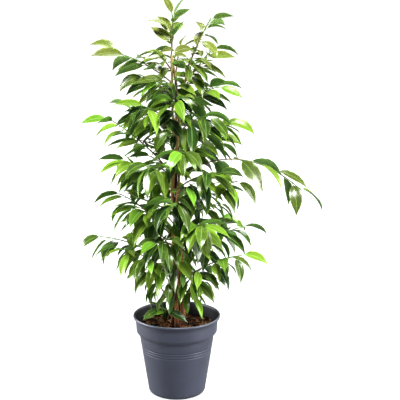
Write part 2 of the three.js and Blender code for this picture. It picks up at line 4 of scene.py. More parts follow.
import bpy
import numpy as np
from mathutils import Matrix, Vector


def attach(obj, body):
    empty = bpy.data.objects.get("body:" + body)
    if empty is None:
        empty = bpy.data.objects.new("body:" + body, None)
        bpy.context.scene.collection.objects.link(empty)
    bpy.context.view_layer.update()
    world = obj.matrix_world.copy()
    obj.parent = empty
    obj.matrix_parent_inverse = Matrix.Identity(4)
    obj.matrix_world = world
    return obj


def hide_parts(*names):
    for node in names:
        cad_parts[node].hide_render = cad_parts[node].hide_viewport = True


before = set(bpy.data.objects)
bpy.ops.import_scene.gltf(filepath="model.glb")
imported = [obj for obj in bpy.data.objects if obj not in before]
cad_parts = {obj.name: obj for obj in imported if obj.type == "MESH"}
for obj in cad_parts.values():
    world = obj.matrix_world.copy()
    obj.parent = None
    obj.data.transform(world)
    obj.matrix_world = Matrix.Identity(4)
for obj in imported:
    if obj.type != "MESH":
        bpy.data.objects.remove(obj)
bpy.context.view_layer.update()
scene = bpy.context.scene
mm = 0.001

# Camera
shot = {
    "target": (0.056, 0.0, 0.4794),
    "distance": 3.0,
    "pitch": 13.3,  # looks down by this
    "lens": 114.3,  # on a 36 mm sensor
}


def addObject(name, data):
    made = bpy.data.objects.new(name, data)
    scene.collection.objects.link(made)
    return made


def addCamera():
    pitch = math.radians(shot["pitch"])
    back = Vector((0, -math.cos(pitch), math.sin(pitch)))
    data = bpy.data.cameras.new("camera")
    data.lens = shot["lens"]
    data.sensor_width = 36
    data.clip_end = 30
    camera = addObject("camera", data)
    camera.location = Vector(shot["target"]) + back * shot["distance"]
    camera.rotation_euler = (-back).to_track_quat("-Z", "Y").to_euler()
    scene.camera = camera


addCamera()
print("camera placed")


# Node trees. A wire is one socket: + - * / on wires of values add Math nodes, and node() adds
# any other node from its type, its settings, and the values or wires of its sockets.
class Wire:
    def __init__(self, tree, socket=None):
        self.tree = tree
        self.socket = socket

    def node(self, kind, settings=None, sockets=None, output=0):
        made = self.tree.nodes.new("ShaderNode" + kind)
        for name, value in (settings or {}).items():
            if name == "stops":
                setStops(made.color_ramp, value)
            else:
                setattr(made, name, value)
        for name, value in (sockets or {}).items():
            if isinstance(value, Wire):
                self.tree.links.new(value.socket, made.inputs[name])
            else:
                made.inputs[name].default_value = value
        return Wire(self.tree, made.outputs[output])

    def maths(self, operation, *values):
        return self.node("Math", {"operation": operation}, dict(enumerate(values)))

    def __add__(self, other):
        return self.maths("ADD", self, other)

    def __radd__(self, other):
        return self.maths("ADD", other, self)

    def __sub__(self, other):
        return self.maths("SUBTRACT", self, other)

    def __rsub__(self, other):
        return self.maths("SUBTRACT", other, self)

    def __mul__(self, other):
        return self.maths("MULTIPLY", self, other)

    def __rmul__(self, other):
        return self.maths("MULTIPLY", other, self)

    def __truediv__(self, other):
        return self.maths("DIVIDE", self, other)

    def __abs__(self):
        return self.maths("ABSOLUTE", self)

    # the X, Y and Z of a vector
    def parts(self):
        split = self.node("SeparateXYZ", {}, {0: self}).socket.node
        return [Wire(self.tree, socket) for socket in split.outputs]

    # what each face holds under this name
    def held(self, name):
        return self.node("Attribute", {"attribute_name": name}, output="Fac")

    # 0 below low and 1 above high, smooth between; low may be the higher of the two
    def ease(self, low, high):
        sockets = {"Value": self, "From Min": low, "From Max": high}
        return self.node("MapRange", {"interpolation_type": "SMOOTHSTEP"}, sockets)

    def ramp(self, stops):
        return self.node("ValToRGB", {"stops": stops}, {"Fac": self})

    # the colour self, changed towards a tint: a colour and the most of it, given by a share of 1
    def towards(self, tint, share):
        sockets = {0: share * tint[3], 6: self, 7: (*tint[:3], 1)}
        return self.node("Mix", {"data_type": "RGBA"}, sockets, 2)

    # noise of this many cells to a metre, drawn out in height where upright is under 1
    def noise(self, scale, detail=3.0, roughness=0.55, upright=1.0):
        place = self.node("Mapping", {}, {"Vector": self, "Scale": (1, 1, upright)})
        sockets = {"Vector": place, "Scale": scale, "Detail": detail, "Roughness": roughness}
        return self.node("TexNoise", {}, sockets)

    # a normal from the height self; the distance is in metres
    def bumps(self, strength, distance):
        sockets = {"Height": self, "Strength": strength, "Distance": distance}
        return self.node("Bump", {}, sockets)


def setStops(ramp, stops):
    while len(ramp.elements) < len(stops):
        ramp.elements.new(0.5)
    for element, (place, colour) in zip(ramp.elements, stops):
        element.position = place
        element.color = (*colour, 1)


# A new material with one Principled shader, whose constants are set on its sockets, and the
# object's own coordinates to start its nodes from. dress() gives it what varies.
def newMaterial(name, constants):
    material = bpy.data.materials.new(name)
    material.use_nodes = True
    shader = material.node_tree.nodes["Principled BSDF"]
    for socket, value in constants.items():
        shader.inputs[socket].default_value = value
    return material, Wire(material.node_tree).node("TexCoord", output="Object")


def dress(material, colour, rough, relief=None, more=None):
    varying = {"Base Color": colour, "Roughness": rough, "Normal": relief, **(more or {})}
    shader = material.node_tree.nodes["Principled BSDF"]
    for socket, wire in varying.items():
        if wire:
            material.node_tree.links.new(wire.socket, shader.inputs[socket])
    return material


# Meshes. A shell is points in mm, quads and triangles as rows of point numbers, a UV for each of
# their corners, and values that each face holds.
def shell(points, quads, quadUv, tris, triUv, faceValues, material=0):
    return {
        "points": points.reshape(-1, 3),
        "quads": quads.reshape(-1, 4),
        "quadsUv": quadUv,
        "tris": tris.reshape(-1, 3),
        "trisUv": triUv,
        "faceValues": faceValues,
        "material": material,
    }


# One closed mesh object of several shells, quads first and then triangles
def makePiece(name, shells, materials, slot, replaced=(), sharpAngle=62):
    kinds = ("quads", "tris")
    pairs = [(s, kind) for kind in kinds for s in shells]
    starts = np.cumsum([0] + [len(s["points"]) for s in shells])[:-1]
    points = np.concatenate([s["points"] for s in shells]) * mm
    corners = [s[kind].ravel() + start for (s, kind), start in zip(pairs, [*starts, *starts])]
    corners = np.concatenate(corners).astype(np.int32)
    uv = np.concatenate([s[kind + "Uv"].reshape(-1, 2) for s, kind in pairs])
    counts = [len(s[kind]) for s, kind in pairs]
    totals = [sum(len(s[kind]) for s in shells) for kind in kinds]
    totals = np.repeat([4, 3], totals).astype(np.int32)
    slots = np.repeat([s["material"] for s, _ in pairs], counts).astype(np.int32)
    mesh = bpy.data.meshes.new(name)
    mesh.vertices.add(len(points))
    mesh.vertices.foreach_set("co", points.astype(np.float32).ravel())
    mesh.loops.add(len(corners))
    mesh.loops.foreach_set("vertex_index", corners)
    mesh.polygons.add(len(totals))
    mesh.polygons.foreach_set("loop_start", (np.cumsum(totals) - totals).astype(np.int32))
    mesh.polygons.foreach_set("loop_total", totals)
    mesh.polygons.foreach_set("material_index", slots)
    mesh.update(calc_edges=True)
    layer = mesh.uv_layers.new(name="surface")
    layer.data.foreach_set("uv", uv.astype(np.float32).ravel())
    for key in shells[0]["faceValues"]:
        values = [s["faceValues"][key][kinds.index(kind)] for s, kind in pairs]
        values = [np.broadcast_to(value, count) for value, count in zip(values, counts)]
        attribute = mesh.attributes.new(key, "FLOAT", "FACE")
        attribute.data.foreach_set("value", np.concatenate(values).astype(np.float32))
    for material in materials:
        mesh.materials.append(material)
    mesh.shade_smooth()
    mesh.set_sharp_from_angle(angle=math.radians(sharpAngle))
    mesh.validate()
    piece = addObject(name, mesh)
    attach(piece, "root")
    if replaced:
        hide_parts(*replaced)
    return piece


# A tube with a pole at each end: rings of points anticlockwise round the way ahead. Its UV runs
# once round and once along.
def tubeShell(poleLow, rings, poleHigh, material=0, faceValues=None, uvSpan=(0.0, 1.0)):
    count, sides = rings.shape[:2]
    points = np.concatenate([poleLow.reshape(1, 3), rings.reshape(-1, 3), poleHigh.reshape(1, 3)])
    i, j = np.meshgrid(np.arange(count - 1), np.arange(sides), indexing="ij")
    here, there = i * sides + j, i * sides + (j + 1) % sides
    quads = 1 + np.stack([here, there, there + sides, here + sides], -1)
    along = np.linspace(*uvSpan, count)
    quadUv = np.stack([j, j + 1, j + 1, j, *(along[i + k] for k in (0, 0, 1, 1))], -1)
    quadUv = np.stack([quadUv[..., :4] / sides, quadUv[..., 4:]], -1)
    j = np.arange(sides)
    following = (j + 1) % sides
    last = 1 + (count - 1) * sides
    low = np.stack([np.zeros(sides, int), 1 + following, 1 + j], -1)
    high = np.stack([np.full(sides, last + sides), last + j, last + following], -1)
    around = np.stack([j + 0.5, j + 1, j], -1) / sides
    lowUv = np.stack([around, np.full((sides, 3), uvSpan[0])], -1)
    highUv = np.stack([around[:, [0, 2, 1]], np.full((sides, 3), uvSpan[1])], -1)
    tris, triUv = np.concatenate([low, high]), np.concatenate([lowUv, highUv])
    return shell(points, quads, quadUv, tris, triUv, faceValues or {}, material)


def anglesRound(count):
    return 2 * np.pi * np.arange(count) / count


def levelWay(angle):
    return np.stack([np.cos(angle), np.sin(angle), 0 * angle], -1)


# Rings round a path: at each of its points a circle in the plane of side and normal. Radii have
# a row for each point, with one value or one for each side.
def ringsRound(path, side, normal, radii, sides):
    angle = anglesRound(sides)[:, None]
    circle = np.cos(angle) * side[..., None, :] + np.sin(angle) * normal[..., None, :]
    return path[..., None, :] + radii[..., None] * circle


def unit(vectors):
    return vectors / np.linalg.norm(vectors, axis=-1, keepdims=True)


up = np.array([0.0, 0.0, 1.0])
levelWays = np.eye(3)[:2]  # the side and the normal of an upright tube

# Plant: its stems, habits and sprays, and the rule that places each twig and leaf
plant = {
    "soilTop": 166,
    "rootDepth": 60,
    "seat": 0.35,
    "caneRadius": 3,
    "caneTop": 771,
    "footRing": 15,
    "gather": (182, 320),  # stems are drawn in to the cane between these heights
    "twist": 1.0,  # degrees for each mm of height
    "stemStep": 36,
    "leanStart": 640,
    "topMargin": 6,
    "collarRadius": 97,
    "rimRadius": 105,
    "potHeight": 197,
    "potRoom": {"inside": 6, "outside": 4, "above": 4, "soil": 8},  # kept free of leaves
}
stems = {
    "stem_tall": {"phase": 352, "top": 822, "thick": 7.2, "thin": 2.3, "lean": (-5, 2)},
    "stem_second": {"phase": 270, "top": 800, "thick": 5.0, "thin": 2.2, "lean": (26, -5)},
    "stem_short": {"phase": 128, "top": 700, "thick": 4.6, "thin": 2.2, "lean": (8, 10)},
}
habits = {
    "rising": {"lift": 52, "droop": 38, "spread": 137.5},
    "level": {"lift": 16, "droop": 42, "spread": 68},
    "spreading": {"lift": 4, "droop": 50, "spread": 68},
    "drooping": {"lift": -8, "droop": 56, "spread": 70},
    "hanging": {"lift": -26, "droop": 54, "spread": 68},
    "lying": {"lift": 4, "droop": 24, "spread": 60},
}
# name, height it leaves a stem at or the stem that it continues, azimuth, reach, rise, arch,
# leaves, their length, habit, tone
sprays = [
    ("leader", "stem_tall", 138, 8, 86, 0, 6, 62, "rising", "mid"),
    ("top_right", "stem_second", 0, 78, 100, 8, 7, 64, "level", "mid"),
    ("crown_left", 783, 190, 44, 46, 8, 5, 60, "level", "mid"),
    ("crown_back", 770, 80, 62, 60, 10, 6, 60, "level", "mid"),
    ("crown_front", 764, 285, 58, 56, 10, 6, 62, "spreading", "dark"),
    ("crown_left_long", 752, 180, 130, 72, 20, 7, 88, "level", "mid"),
    ("crown_right", 750, 2, 84, 82, 12, 7, 70, "level", "mid"),
    ("crown_right_low", 732, 28, 74, 60, 12, 6, 64, "spreading", "dark"),
    ("crown_front_left", 728, 238, 74, 44, 12, 7, 66, "spreading", "dark"),
    ("upper_left", 714, 172, 86, 58, 14, 7, 74, "spreading", "dark"),
    ("upper_back_left", 700, 128, 92, 50, 14, 7, 70, "spreading", "mid"),
    ("upper_right", 694, 348, 96, 56, 16, 8, 74, "spreading", "mid"),
    ("upper_front", 682, 268, 88, 44, 14, 8, 78, "spreading", "mid"),
    ("upper_back", 672, 70, 96, 46, 14, 7, 72, "spreading", "dark"),
    ("upper_front_left", 656, 222, 100, 58, 16, 8, 84, "spreading", "dark"),
    ("upper_front_right", 644, 312, 104, 48, 16, 8, 78, "drooping", "dark"),
    ("shoulder_right", 606, 0, 120, 52, 28, 9, 84, "drooping", "mid"),
    ("shoulder_back_left", 618, 146, 118, 58, 18, 8, 74, "spreading", "dark"),
    ("rising_left", 548, 183, 156, 128, 22, 9, 76, "level", "mid"),
    ("middle_back", 590, 96, 120, 52, 18, 7, 76, "drooping", "mid"),
    ("middle_front", 580, 282, 112, 34, 18, 8, 80, "drooping", "mid"),
    ("middle_front_left", 536, 240, 118, 44, 20, 8, 82, "drooping", "mid"),
    ("middle_back_right", 552, 42, 130, 52, 18, 8, 76, "drooping", "dark"),
    ("middle_left", 500, 196, 118, 78, 20, 8, 80, "drooping", "dark"),
    ("middle_front_right", 512, 322, 124, 46, 20, 8, 80, "drooping", "dark"),
    ("middle_back_left", 470, 132, 132, 56, 20, 7, 78, "drooping", "mid"),
    ("middle_right", 456, 346, 142, 74, 20, 8, 80, "drooping", "mid"),
    ("long_right", 540, 2, 292, -29, 108, 12, 96, "hanging", "mid"),
    ("waist_front", 470, 270, 118, 24, 20, 8, 84, "drooping", "dark"),
    ("waist_back", 440, 70, 134, 50, 20, 7, 78, "drooping", "dark"),
    ("waist_left", 392, 170, 132, 96, 22, 8, 80, "drooping", "mid"),
    ("waist_front_left", 404, 216, 126, 74, 22, 8, 84, "drooping", "mid"),
    ("waist_front_right", 384, 304, 116, 60, 22, 8, 84, "drooping", "mid"),
    ("low_right", 332, 3, 154, 78, 26, 9, 78, "drooping", "dark"),
    ("low_back_right", 352, 40, 134, 60, 22, 8, 76, "drooping", "mid"),
    ("low_back_left", 350, 124, 138, 56, 22, 7, 76, "drooping", "dark"),
    ("low_front", 356, 244, 108, 46, 22, 7, 80, "drooping", "mid"),
    ("low_left_far", 318, 180, 176, 70, 26, 9, 80, "drooping", "dark"),
    ("low_left_front", 296, 204, 150, 84, 24, 8, 78, "drooping", "mid"),
    ("low_left_near", 276, 222, 104, 84, 22, 7, 74, "hanging", "mid"),
    ("low_front_right", 286, 343, 158, 70, 22, 8, 74, "drooping", "dark"),
    ("low_right_near", 262, 312, 74, 60, 16, 6, 66, "hanging", "mid"),
    ("low_back", 292, 84, 120, 62, 22, 6, 72, "drooping", "mid"),
    ("inner_high", 626, 258, 66, 30, 12, 5, 74, "drooping", "lime"),
    ("inner_middle", 506, 292, 70, 26, 12, 5, 78, "drooping", "lime"),
    ("inner_low", 322, 252, 66, 34, 12, 5, 74, "hanging", "dark"),
    ("base_front", 236, 232, 46, 66, 8, 5, 58, "hanging", "dark"),
    ("base_front_right", 252, 326, 52, 50, 8, 5, 66, "hanging", "mid"),
    ("base_left", 222, 188, 66, 88, 0, 5, 64, "hanging", "dark"),
    ("base_right", 228, 15, 72, 64, 10, 5, 62, "hanging", "mid"),
    ("rim_left", 196, 208, 50, 28, 8, 3, 58, "lying", "mid"),
]
sprayKeys = ("name", "start", "azimuth", "reach", "rise", "arch", "leaves", "size", "habit", "tone")
growth = {
    "twigWidth": 1.25,
    "twigHeight": (1.9, 1.15),
    "bareTwig": 0.16,
    "petiole": 12,
    "petioleHalf": 0.85,
    "petioleRise": 8,
    "blade": 1.6,
    "slender": 0.45,
    "outline": ((0.2, 0.82), (0.48, 1), (0.82, 0.27)),
    "ribAt": 0.45,
    "lengths": (1.06, 0.2),  # share of the length at a twig's root, and how much less at its tip
    "tipLeaf": 0.985,  # where the last leaf stands
    "closeUp": 34,
    "leastFold": 14,
}
scatter = {"azimuth": 54, "lift": 50, "droop": 40, "roll": 90, "fold": 16, "length": 0.2}
scatterOrder = ("azimuth", "lift", "droop", "length", "roll")
clearance = {
    "cell": 3,
    "sampleStep": 2,
    "turns": (0, 15, -15, 30, -30, 45, -45, 62, -62),
    "tips": (0, -14, 12, -28, 24),
    "sizes": (1, 0.88, 0.76, 0.66),
    "twigTurns": (0, 7, -7, 14, -14, 21, -21),
    "twigShifts": (0, 8, -8, 16, -16),
    "twigSeat": 0.45,
    "twigToWood": 0.1,
    "leafToWood": 3,
}


# Draws between 0 and 1, the same on every run: each state is the last times 16807, less whole
# multiples of 2147483647
def draws(seed):
    state = seed
    while True:
        state = state * 16807 % 2147483647
        yield state / 2147483647


def aheadOf(azimuth):
    return levelWay(np.radians(np.asarray(azimuth, float)))


def stemRadius(stem, z):
    grown = np.clip((z - plant["soilTop"]) / (stem["top"] - plant["soilTop"]), 0, 1)
    return stem["thick"] + (stem["thin"] - stem["thick"]) * grown


# Upright at first, drawn in to the cane with a smoothstep, then wound round it, and leaning away
# with the square of the height above leanStart
def stemPlace(stem, z):
    z = np.asarray(z, float)
    low, high = plant["gather"]
    share = np.clip((z - low) / (high - low), 0, 1)
    gathered = share * share * (3 - 2 * share)
    close = plant["caneRadius"] + stemRadius(stem, z) + 1
    radius = plant["footRing"] + (close - plant["footRing"]) * gathered
    angle = np.radians(stem["phase"] + plant["twist"] * np.maximum(0, z - high))
    lean = np.maximum(0, (z - plant["leanStart"]) / (stem["top"] - plant["leanStart"])) ** 2
    x = radius * np.cos(angle) + stem["lean"][0] * lean
    return np.stack([x, radius * np.sin(angle) + stem["lean"][1] * lean], -1)


# The model's stem has rings at its foot, at every stemStep from where the stems gather, and at its
# top, and runs straight from each to the next
for stem in stems.values():
    foot = plant["soilTop"] - plant["rootDepth"] + plant["seat"]
    rings = np.arange(plant["gather"][0], stem["top"] - plant["stemStep"] / 2, plant["stemStep"])
    stem["heights"] = np.array([foot, *rings, stem["top"]], float)
    stem["axis"] = stemPlace(stem, stem["heights"])


def stemAxis(stem, z):
    x, y = (np.interp(z, stem["heights"], stem["axis"][:, k]) for k in (0, 1))
    return np.stack([x, y], -1)


# Gap from points to the nearest stem or to the cane, measured level
def woodGap(points):
    x, y, z = points[..., 0], points[..., 1], points[..., 2]
    margin = clearance["leafToWood"]
    inCane = z < plant["caneTop"] + margin
    gap = np.where(inCane, np.hypot(x, y) - plant["caneRadius"], np.inf)
    for stem in stems.values():
        level = np.minimum(z, stem["top"])
        axis = stemAxis(stem, level)
        own = np.hypot(x - axis[..., 0], y - axis[..., 1]) - stemRadius(stem, level)
        gap = np.where(z > stem["top"] + margin, gap, np.minimum(gap, own))
    return gap


def insidePot(points):
    room = plant["potRoom"]
    radius = np.hypot(points[..., 0], points[..., 1])
    z = points[..., 2]
    collar, rim = plant["collarRadius"], plant["rimRadius"]
    overRim = (radius > collar - room["inside"]) & (radius < rim + room["outside"])
    overRim &= z < plant["potHeight"] + room["above"]
    return overRim | ((radius < collar) & (z < plant["soilTop"] + room["soil"]))


# Clearance grid: which cells twigs and leaves hold, each with the cells round it
gridShape = (256, 256, 340)
gridCentre = np.array([128, 128, 0])
gridSteps = np.array([gridShape[1] * gridShape[2], gridShape[2], 1])
twigOwner = np.full(np.prod(gridShape), -2, np.int16)  # -2 is nobody, -1 is several
twigCore, twigNear, leafHeld, leafCore = np.zeros((4, np.prod(gridShape)), bool)
near = np.indices((3, 3, 3)).reshape(3, -1).T - 1
facing = near[np.abs(near).sum(1) <= 1]


def cellOf(points):
    cells = np.floor(points / clearance["cell"]).astype(np.int64) + gridCentre
    cells = np.clip(cells, 1, np.array(gridShape) - 2)
    return (cells[..., 0] * gridShape[1] + cells[..., 1]) * gridShape[2] + cells[..., 2]


def cellsRound(points, offsets):
    return np.unique(np.unique(cellOf(points))[:, None] + offsets @ gridSteps)


# A twig starts on the stem that stands furthest out its way, or on the end of the stem that it
# continues
def twigRoot(spray, azimuth, start):
    out = aheadOf(azimuth)
    steep = math.atan2(spray["rise"] / 2 + spray["arch"], spray["reach"] / 2)
    half = growth["twigHeight"][0]
    if isinstance(start, str):
        stem = stems[start]
        top = stem["top"] + plant["seat"] + half * math.cos(steep)
        return np.array([*stemPlace(stem, stem["top"]), top])
    tall = [stem for stem in stems.values() if stem["top"] >= start + plant["topMargin"]]
    stem = max(tall, key=lambda stem: stemAxis(stem, start) @ out[:2] + stemRadius(stem, start))
    away = stemRadius(stem, start) + clearance["twigSeat"] + half * math.sin(steep)
    return np.array([*(stemAxis(stem, start) + away * out[:2]), start])


# A parabola from root to tip whose middle control point is the middle of the chord, lifted by the
# arch
def makeTwig(spray, azimuth, start):
    out = aheadOf(azimuth)
    root = twigRoot(spray, azimuth, start)
    reach = spray["reach"] - (root[0] * out[0] + root[1] * out[1])
    tip = root + out * reach + up * spray["rise"]
    middle = root + (tip - root) * 0.5 + up * spray["arch"]
    return {
        "azimuth": azimuth,
        "side": np.array([-out[1], out[0], 0.0]),
        "ends": (root, middle, tip),
        "length": np.linalg.norm(middle - root) + np.linalg.norm(tip - middle),
    }


def twigPoint(twig, t):
    t = np.asarray(t, float)[..., None]
    root, middle, tip = twig["ends"]
    return (1 - t) * (1 - t) * root + 2 * (1 - t) * t * middle + t * t * tip


def twigWay(twig, t):
    step = 1e-4
    return unit(twigPoint(twig, np.minimum(t + step, 1)) - twigPoint(twig, np.maximum(t - step, 0)))


def twigSamples(twig):
    steps = math.ceil(twig["length"] / clearance["sampleStep"])
    t = np.arange(steps + 1) / steps
    low, high = growth["twigHeight"]
    half = (low + (high - low) * t)[:, None]
    normal = np.cross(twigWay(twig, t), twig["side"])
    corners = [
        twigPoint(twig, t) + across * growth["twigWidth"] * twig["side"] + above * half * normal
        for across, above in ((1, -1), (1, 1), (-1, 1), (-1, -1))
    ]
    return np.concatenate(corners)


def placeTwig(spray, index, avoidLeaves=False):
    ways = rest if avoidLeaves else clearance
    joined = isinstance(spray["start"], str)
    for shift, turn in product(ways["twigShifts"], ways["twigTurns"]):
        start = spray["start"] if joined else spray["start"] + shift
        twig = makeTwig(spray, spray["azimuth"] + turn, start)
        points = twigSamples(twig)
        cells = cellOf(points)
        clear = (twigOwner[cells] == -2) & (woodGap(points) > clearance["twigToWood"])
        clear &= ~insidePot(points)
        if avoidLeaves:
            clear &= ~leafCore[cells]
        if joined or clear.all():
            around = cellsRound(points, near)
            twigOwner[around] = np.where(twigOwner[around] == -2, index, -1)
            twigCore[cells] = True
            twigNear[cellsRound(points, facing)] = True
            return twig
    return None


# The midrib is an arc that starts at the pitch lift and bends down by droop. Gives its point, the
# way to the left of the blade, its normal and its tangent.
def leafAt(leaf, t):
    lift, droop, length, roll = (leaf[k] for k in ("lift", "droop", "length", "roll"))
    pitch = lift - droop * t
    bend = length / droop
    along = bend * (np.sin(lift) - np.sin(pitch))
    above = bend * (np.cos(pitch) - np.cos(lift))
    out = leaf["out"]
    point = leaf["base"] + out * along[..., None] + up * above[..., None]
    tangent = out * np.cos(pitch)[..., None] + up * np.sin(pitch)[..., None]
    flat = np.stack([-out[..., 1], out[..., 0], np.zeros_like(out[..., 0])], -1)
    flat = np.broadcast_to(flat, tangent.shape)
    turned = np.cross(tangent, flat)
    side = flat * np.cos(roll)[..., None] + turned * np.sin(roll)[..., None]
    return point, side, np.cross(tangent, side), tangent


# Leaves from arrays of angles in degrees
def makeLeaves(root, azimuth, lift, droop, length, roll, fold):
    out = aheadOf(azimuth)
    pitch = np.radians(lift + growth["petioleRise"])[..., None]
    base = root + out * growth["petiole"] * np.cos(pitch) + up * growth["petiole"] * np.sin(pitch)
    same = np.ones_like(azimuth)
    angles = {"lift": lift, "droop": droop, "roll": roll, "fold": fold}
    leaf = {key: np.radians(angle * same) for key, angle in angles.items()}
    return leaf | {"root": root + 0 * base, "out": out, "base": base, "length": length * same}


# The corners of the model's faceted leaf
def leafCorners(leaf):
    corners = []
    _, side, normal, _ = leafAt(leaf, 0.0)
    half = growth["petioleHalf"]
    for centre in (leaf["root"], leaf["base"]):
        corners += [centre + side * half, centre - side * half, centre - normal * half]
    for t, share in growth["outline"]:
        point, side, normal, _ = leafAt(leaf, t)
        half = (leaf["length"] * growth["slender"] * share / 2)[..., None]
        fold = leaf["fold"][..., None]
        for hand in (1, -1):
            across = side * (hand * half * np.cos(fold))
            corners.append(point + across + normal * (half * np.sin(fold)))
    point, _, normal, _ = leafAt(leaf, growth["ribAt"])
    corners += [point + normal * growth["blade"] / 2, point - normal * growth["blade"] / 2]
    corners.append(leafAt(leaf, 1.0)[0])
    return np.stack(corners, -2)


leafFacets = ((3, 4, 12), (3, 12, 6), (6, 12, 8), (8, 12, 10), (10, 12, 14))
leafFacets += ((4, 7, 12), (12, 7, 9), (12, 9, 11), (12, 11, 14))


# Points over the upper faces of leaves, no further apart than sampleStep
def leafSamples(base, corners):
    samples = [base[:, None]]
    for facet in leafFacets:
        p, q, r = (corners[:, corner] for corner in facet)
        longest = max(np.linalg.norm(edge[0]) for edge in (p - q, q - r, r - p))
        steps = math.ceil(longest / clearance["sampleStep"])
        i, j = np.indices((steps + 1, steps + 1))
        kept = i + j <= steps
        first, second = (i[kept] / steps)[:, None], (j[kept] / steps)[:, None]
        samples.append(p[:, None] + (q - p)[:, None] * first + (r - p)[:, None] * second)
    return np.concatenate(samples, 1)


# Which leaves' points all lie in free cells
def leafFree(points, index):
    cells = cellOf(points)
    owner = twigOwner[cells]
    free = (owner == -2) | ((owner == index) & ~twigCore[cells])
    return (free & ~leafHeld[cells] & ~insidePot(points)).all(axis=1)


outerCorners = sorted({corner for facet in leafFacets for corner in facet})


# Tries a leaf as drawn, then turned, tipped or smaller, and keeps the first that clears the rest.
# Corners are looked at before the whole leaf, to save time.
def placeLeaf(wish, index, isFree, ways):
    turns = np.array(ways["turns"], float)
    for scale, tip in product(ways["sizes"], ways["tips"]):
        change = {"azimuth": wish["azimuth"] + turns, "lift": wish["lift"] + tip}
        tries = makeLeaves(**(wish | change | {"length": wish["length"] * scale}))
        corners = leafCorners(tries)
        hopeful = np.flatnonzero(isFree(corners[:, outerCorners], index))
        if not len(hopeful):
            continue
        samples = leafSamples(tries["base"][hopeful], corners[hopeful])
        for k in np.flatnonzero(isFree(samples, index)):
            if (woodGap(samples[k]) > ways["leafToWood"]).all():
                leafHeld[cellsRound(samples[k], near)] = True
                leafCore[cellsRound(samples[k], facing)] = True
                return {key: value[hopeful[k]] for key, value in tries.items()}
    return None


# Leaves alternate left and right along a twig, or wind round it where it stands upright, and the
# last one carries on from its tip
def placeLeaves(spray, twig, index, isFree, ways, setBack=0.0):
    draw = draws(29590123 * (index + 1) % 2147483647)
    habit = habits[spray["habit"]]
    spread = habit["spread"]
    longest, shrink = growth["lengths"]
    placed = []
    for i in range(spray["leaves"]):
        end = i == spray["leaves"] - 1 and not setBack
        place = (i + 0.5 - setBack) / (spray["leaves"] - 0.5)
        along = growth["bareTwig"] + (1 - growth["bareTwig"]) * place
        hand = 1 if (i % 2) != (setBack > 0) else -1
        beside = hand * (spread - growth["closeUp"] * along)
        if spray["habit"] == "rising":
            beside = spread * i
        strays = {key: scatter[key] * (next(draw) - 0.5) for key in scatterOrder}
        wish = {
            "root": twigPoint(twig, growth["tipLeaf"] if end else along),
            "azimuth": twig["azimuth"] + (0 if end else beside) + strays["azimuth"],
            "lift": habit["lift"] + strays["lift"],
            "droop": habit["droop"] + strays["droop"],
            "length": spray["size"] * (longest - shrink * along) * (1 + strays["length"]),
            "roll": strays["roll"],
            "fold": growth["leastFold"] + scatter["fold"] * next(draw),
        }
        leaf = placeLeaf(wish, index, isFree, ways)
        if leaf:
            leaf["along"] = along
            placed.append(leaf)
    return placed


sprays = [dict(zip(sprayKeys, row)) for row in sprays]
twigs = [placeTwig(spray, index) for index, spray in enumerate(sprays)]
leaves = [
    placeLeaves(spray, twig, index, leafFree, clearance)
    for index, (spray, twig) in enumerate(zip(sprays, twigs))
]
print("twigs", sum(t is not None for t in twigs), "leaves", sum(map(len, leaves)))

# The rest of the leaves: more on the same twigs, and short twigs close to the stems
rest = {
    "twigs": 56,
    "heights": (262, 780),
    "reach": ((200, 50), (300, 84), (450, 92), (600, 82), (700, 64), (790, 40)),
    "size": ((200, 60), (300, 74), (600, 74), (790, 54)),
    "leaves": 6,
    "reachShare": (0.8, 0.4),
    "rise": 0.42,
    "arch": 0.16,
    "twigShifts": (0, 6, -6, 12, -12, 18),
    "twigTurns": (0, 12, -12, 24, -24, 40, -40),
    "turns": (0, 20, -20, 40, -40, 60, -60),
    "tips": (0, -18, 18),
    "sizes": (1, 0.8, 0.66),
    "leafToWood": 1.6,
    "habits": ("spreading", "drooping", "level", "hanging", "rising"),
    "tones": ("dark", "mid", "dark", "mid", "dark", "lime"),
    "setBack": 0.5,  # of the step between two leaves
    # heights, and how far from the cane leaves may stand there
    "within": (
        *((200, 60), (300, 140), (480, 160), (620, 150)),
        *((700, 125), (790, 100), (900, 76), (930, 40)),
    ),
}


def restFree(points, _):
    cells = cellOf(points)
    free = ~twigNear[cells] & ~leafCore[cells] & ~insidePot(points)
    reach = np.interp(points[..., 2], *zip(*rest["within"]))
    return (free & (np.hypot(points[..., 0], points[..., 1]) < reach)).all(axis=1)


def restSpray(k):
    low, high = rest["heights"]
    start = low + (high - low) * ((k + 0.5) / rest["twigs"])
    reach, size = (np.interp(start, *zip(*rest[key])) for key in ("reach", "size"))
    least, more = rest["reachShare"]
    reach = reach * (least + more * (k * 0.618 % 1))
    habit, tone = (rest[key][k % len(rest[key])] for key in ("habits", "tones"))
    shape = (reach, reach * rest["rise"], reach * rest["arch"])
    row = (f"rest_{k:02d}", start, 137.5 * k % 360, *shape, rest["leaves"], size, habit, tone)
    return dict(zip(sprayKeys, row))


grown, added = list(zip(sprays, twigs, leaves)), []
for index, (spray, twig, placed) in enumerate(grown):
    placed += placeLeaves(spray, twig, 200 + index, restFree, rest, rest["setBack"])
for k in range(rest["twigs"]):
    spray = restSpray(k)
    twig = placeTwig(spray, 100 + k, True)
    placed = placeLeaves(spray, twig, 400 + k, restFree, rest) if twig else []
    if placed:
        added.append((spray, twig, placed))
print("twigs added", len(added), "all leaves", sum(len(placed) for *_, placed in grown + added))


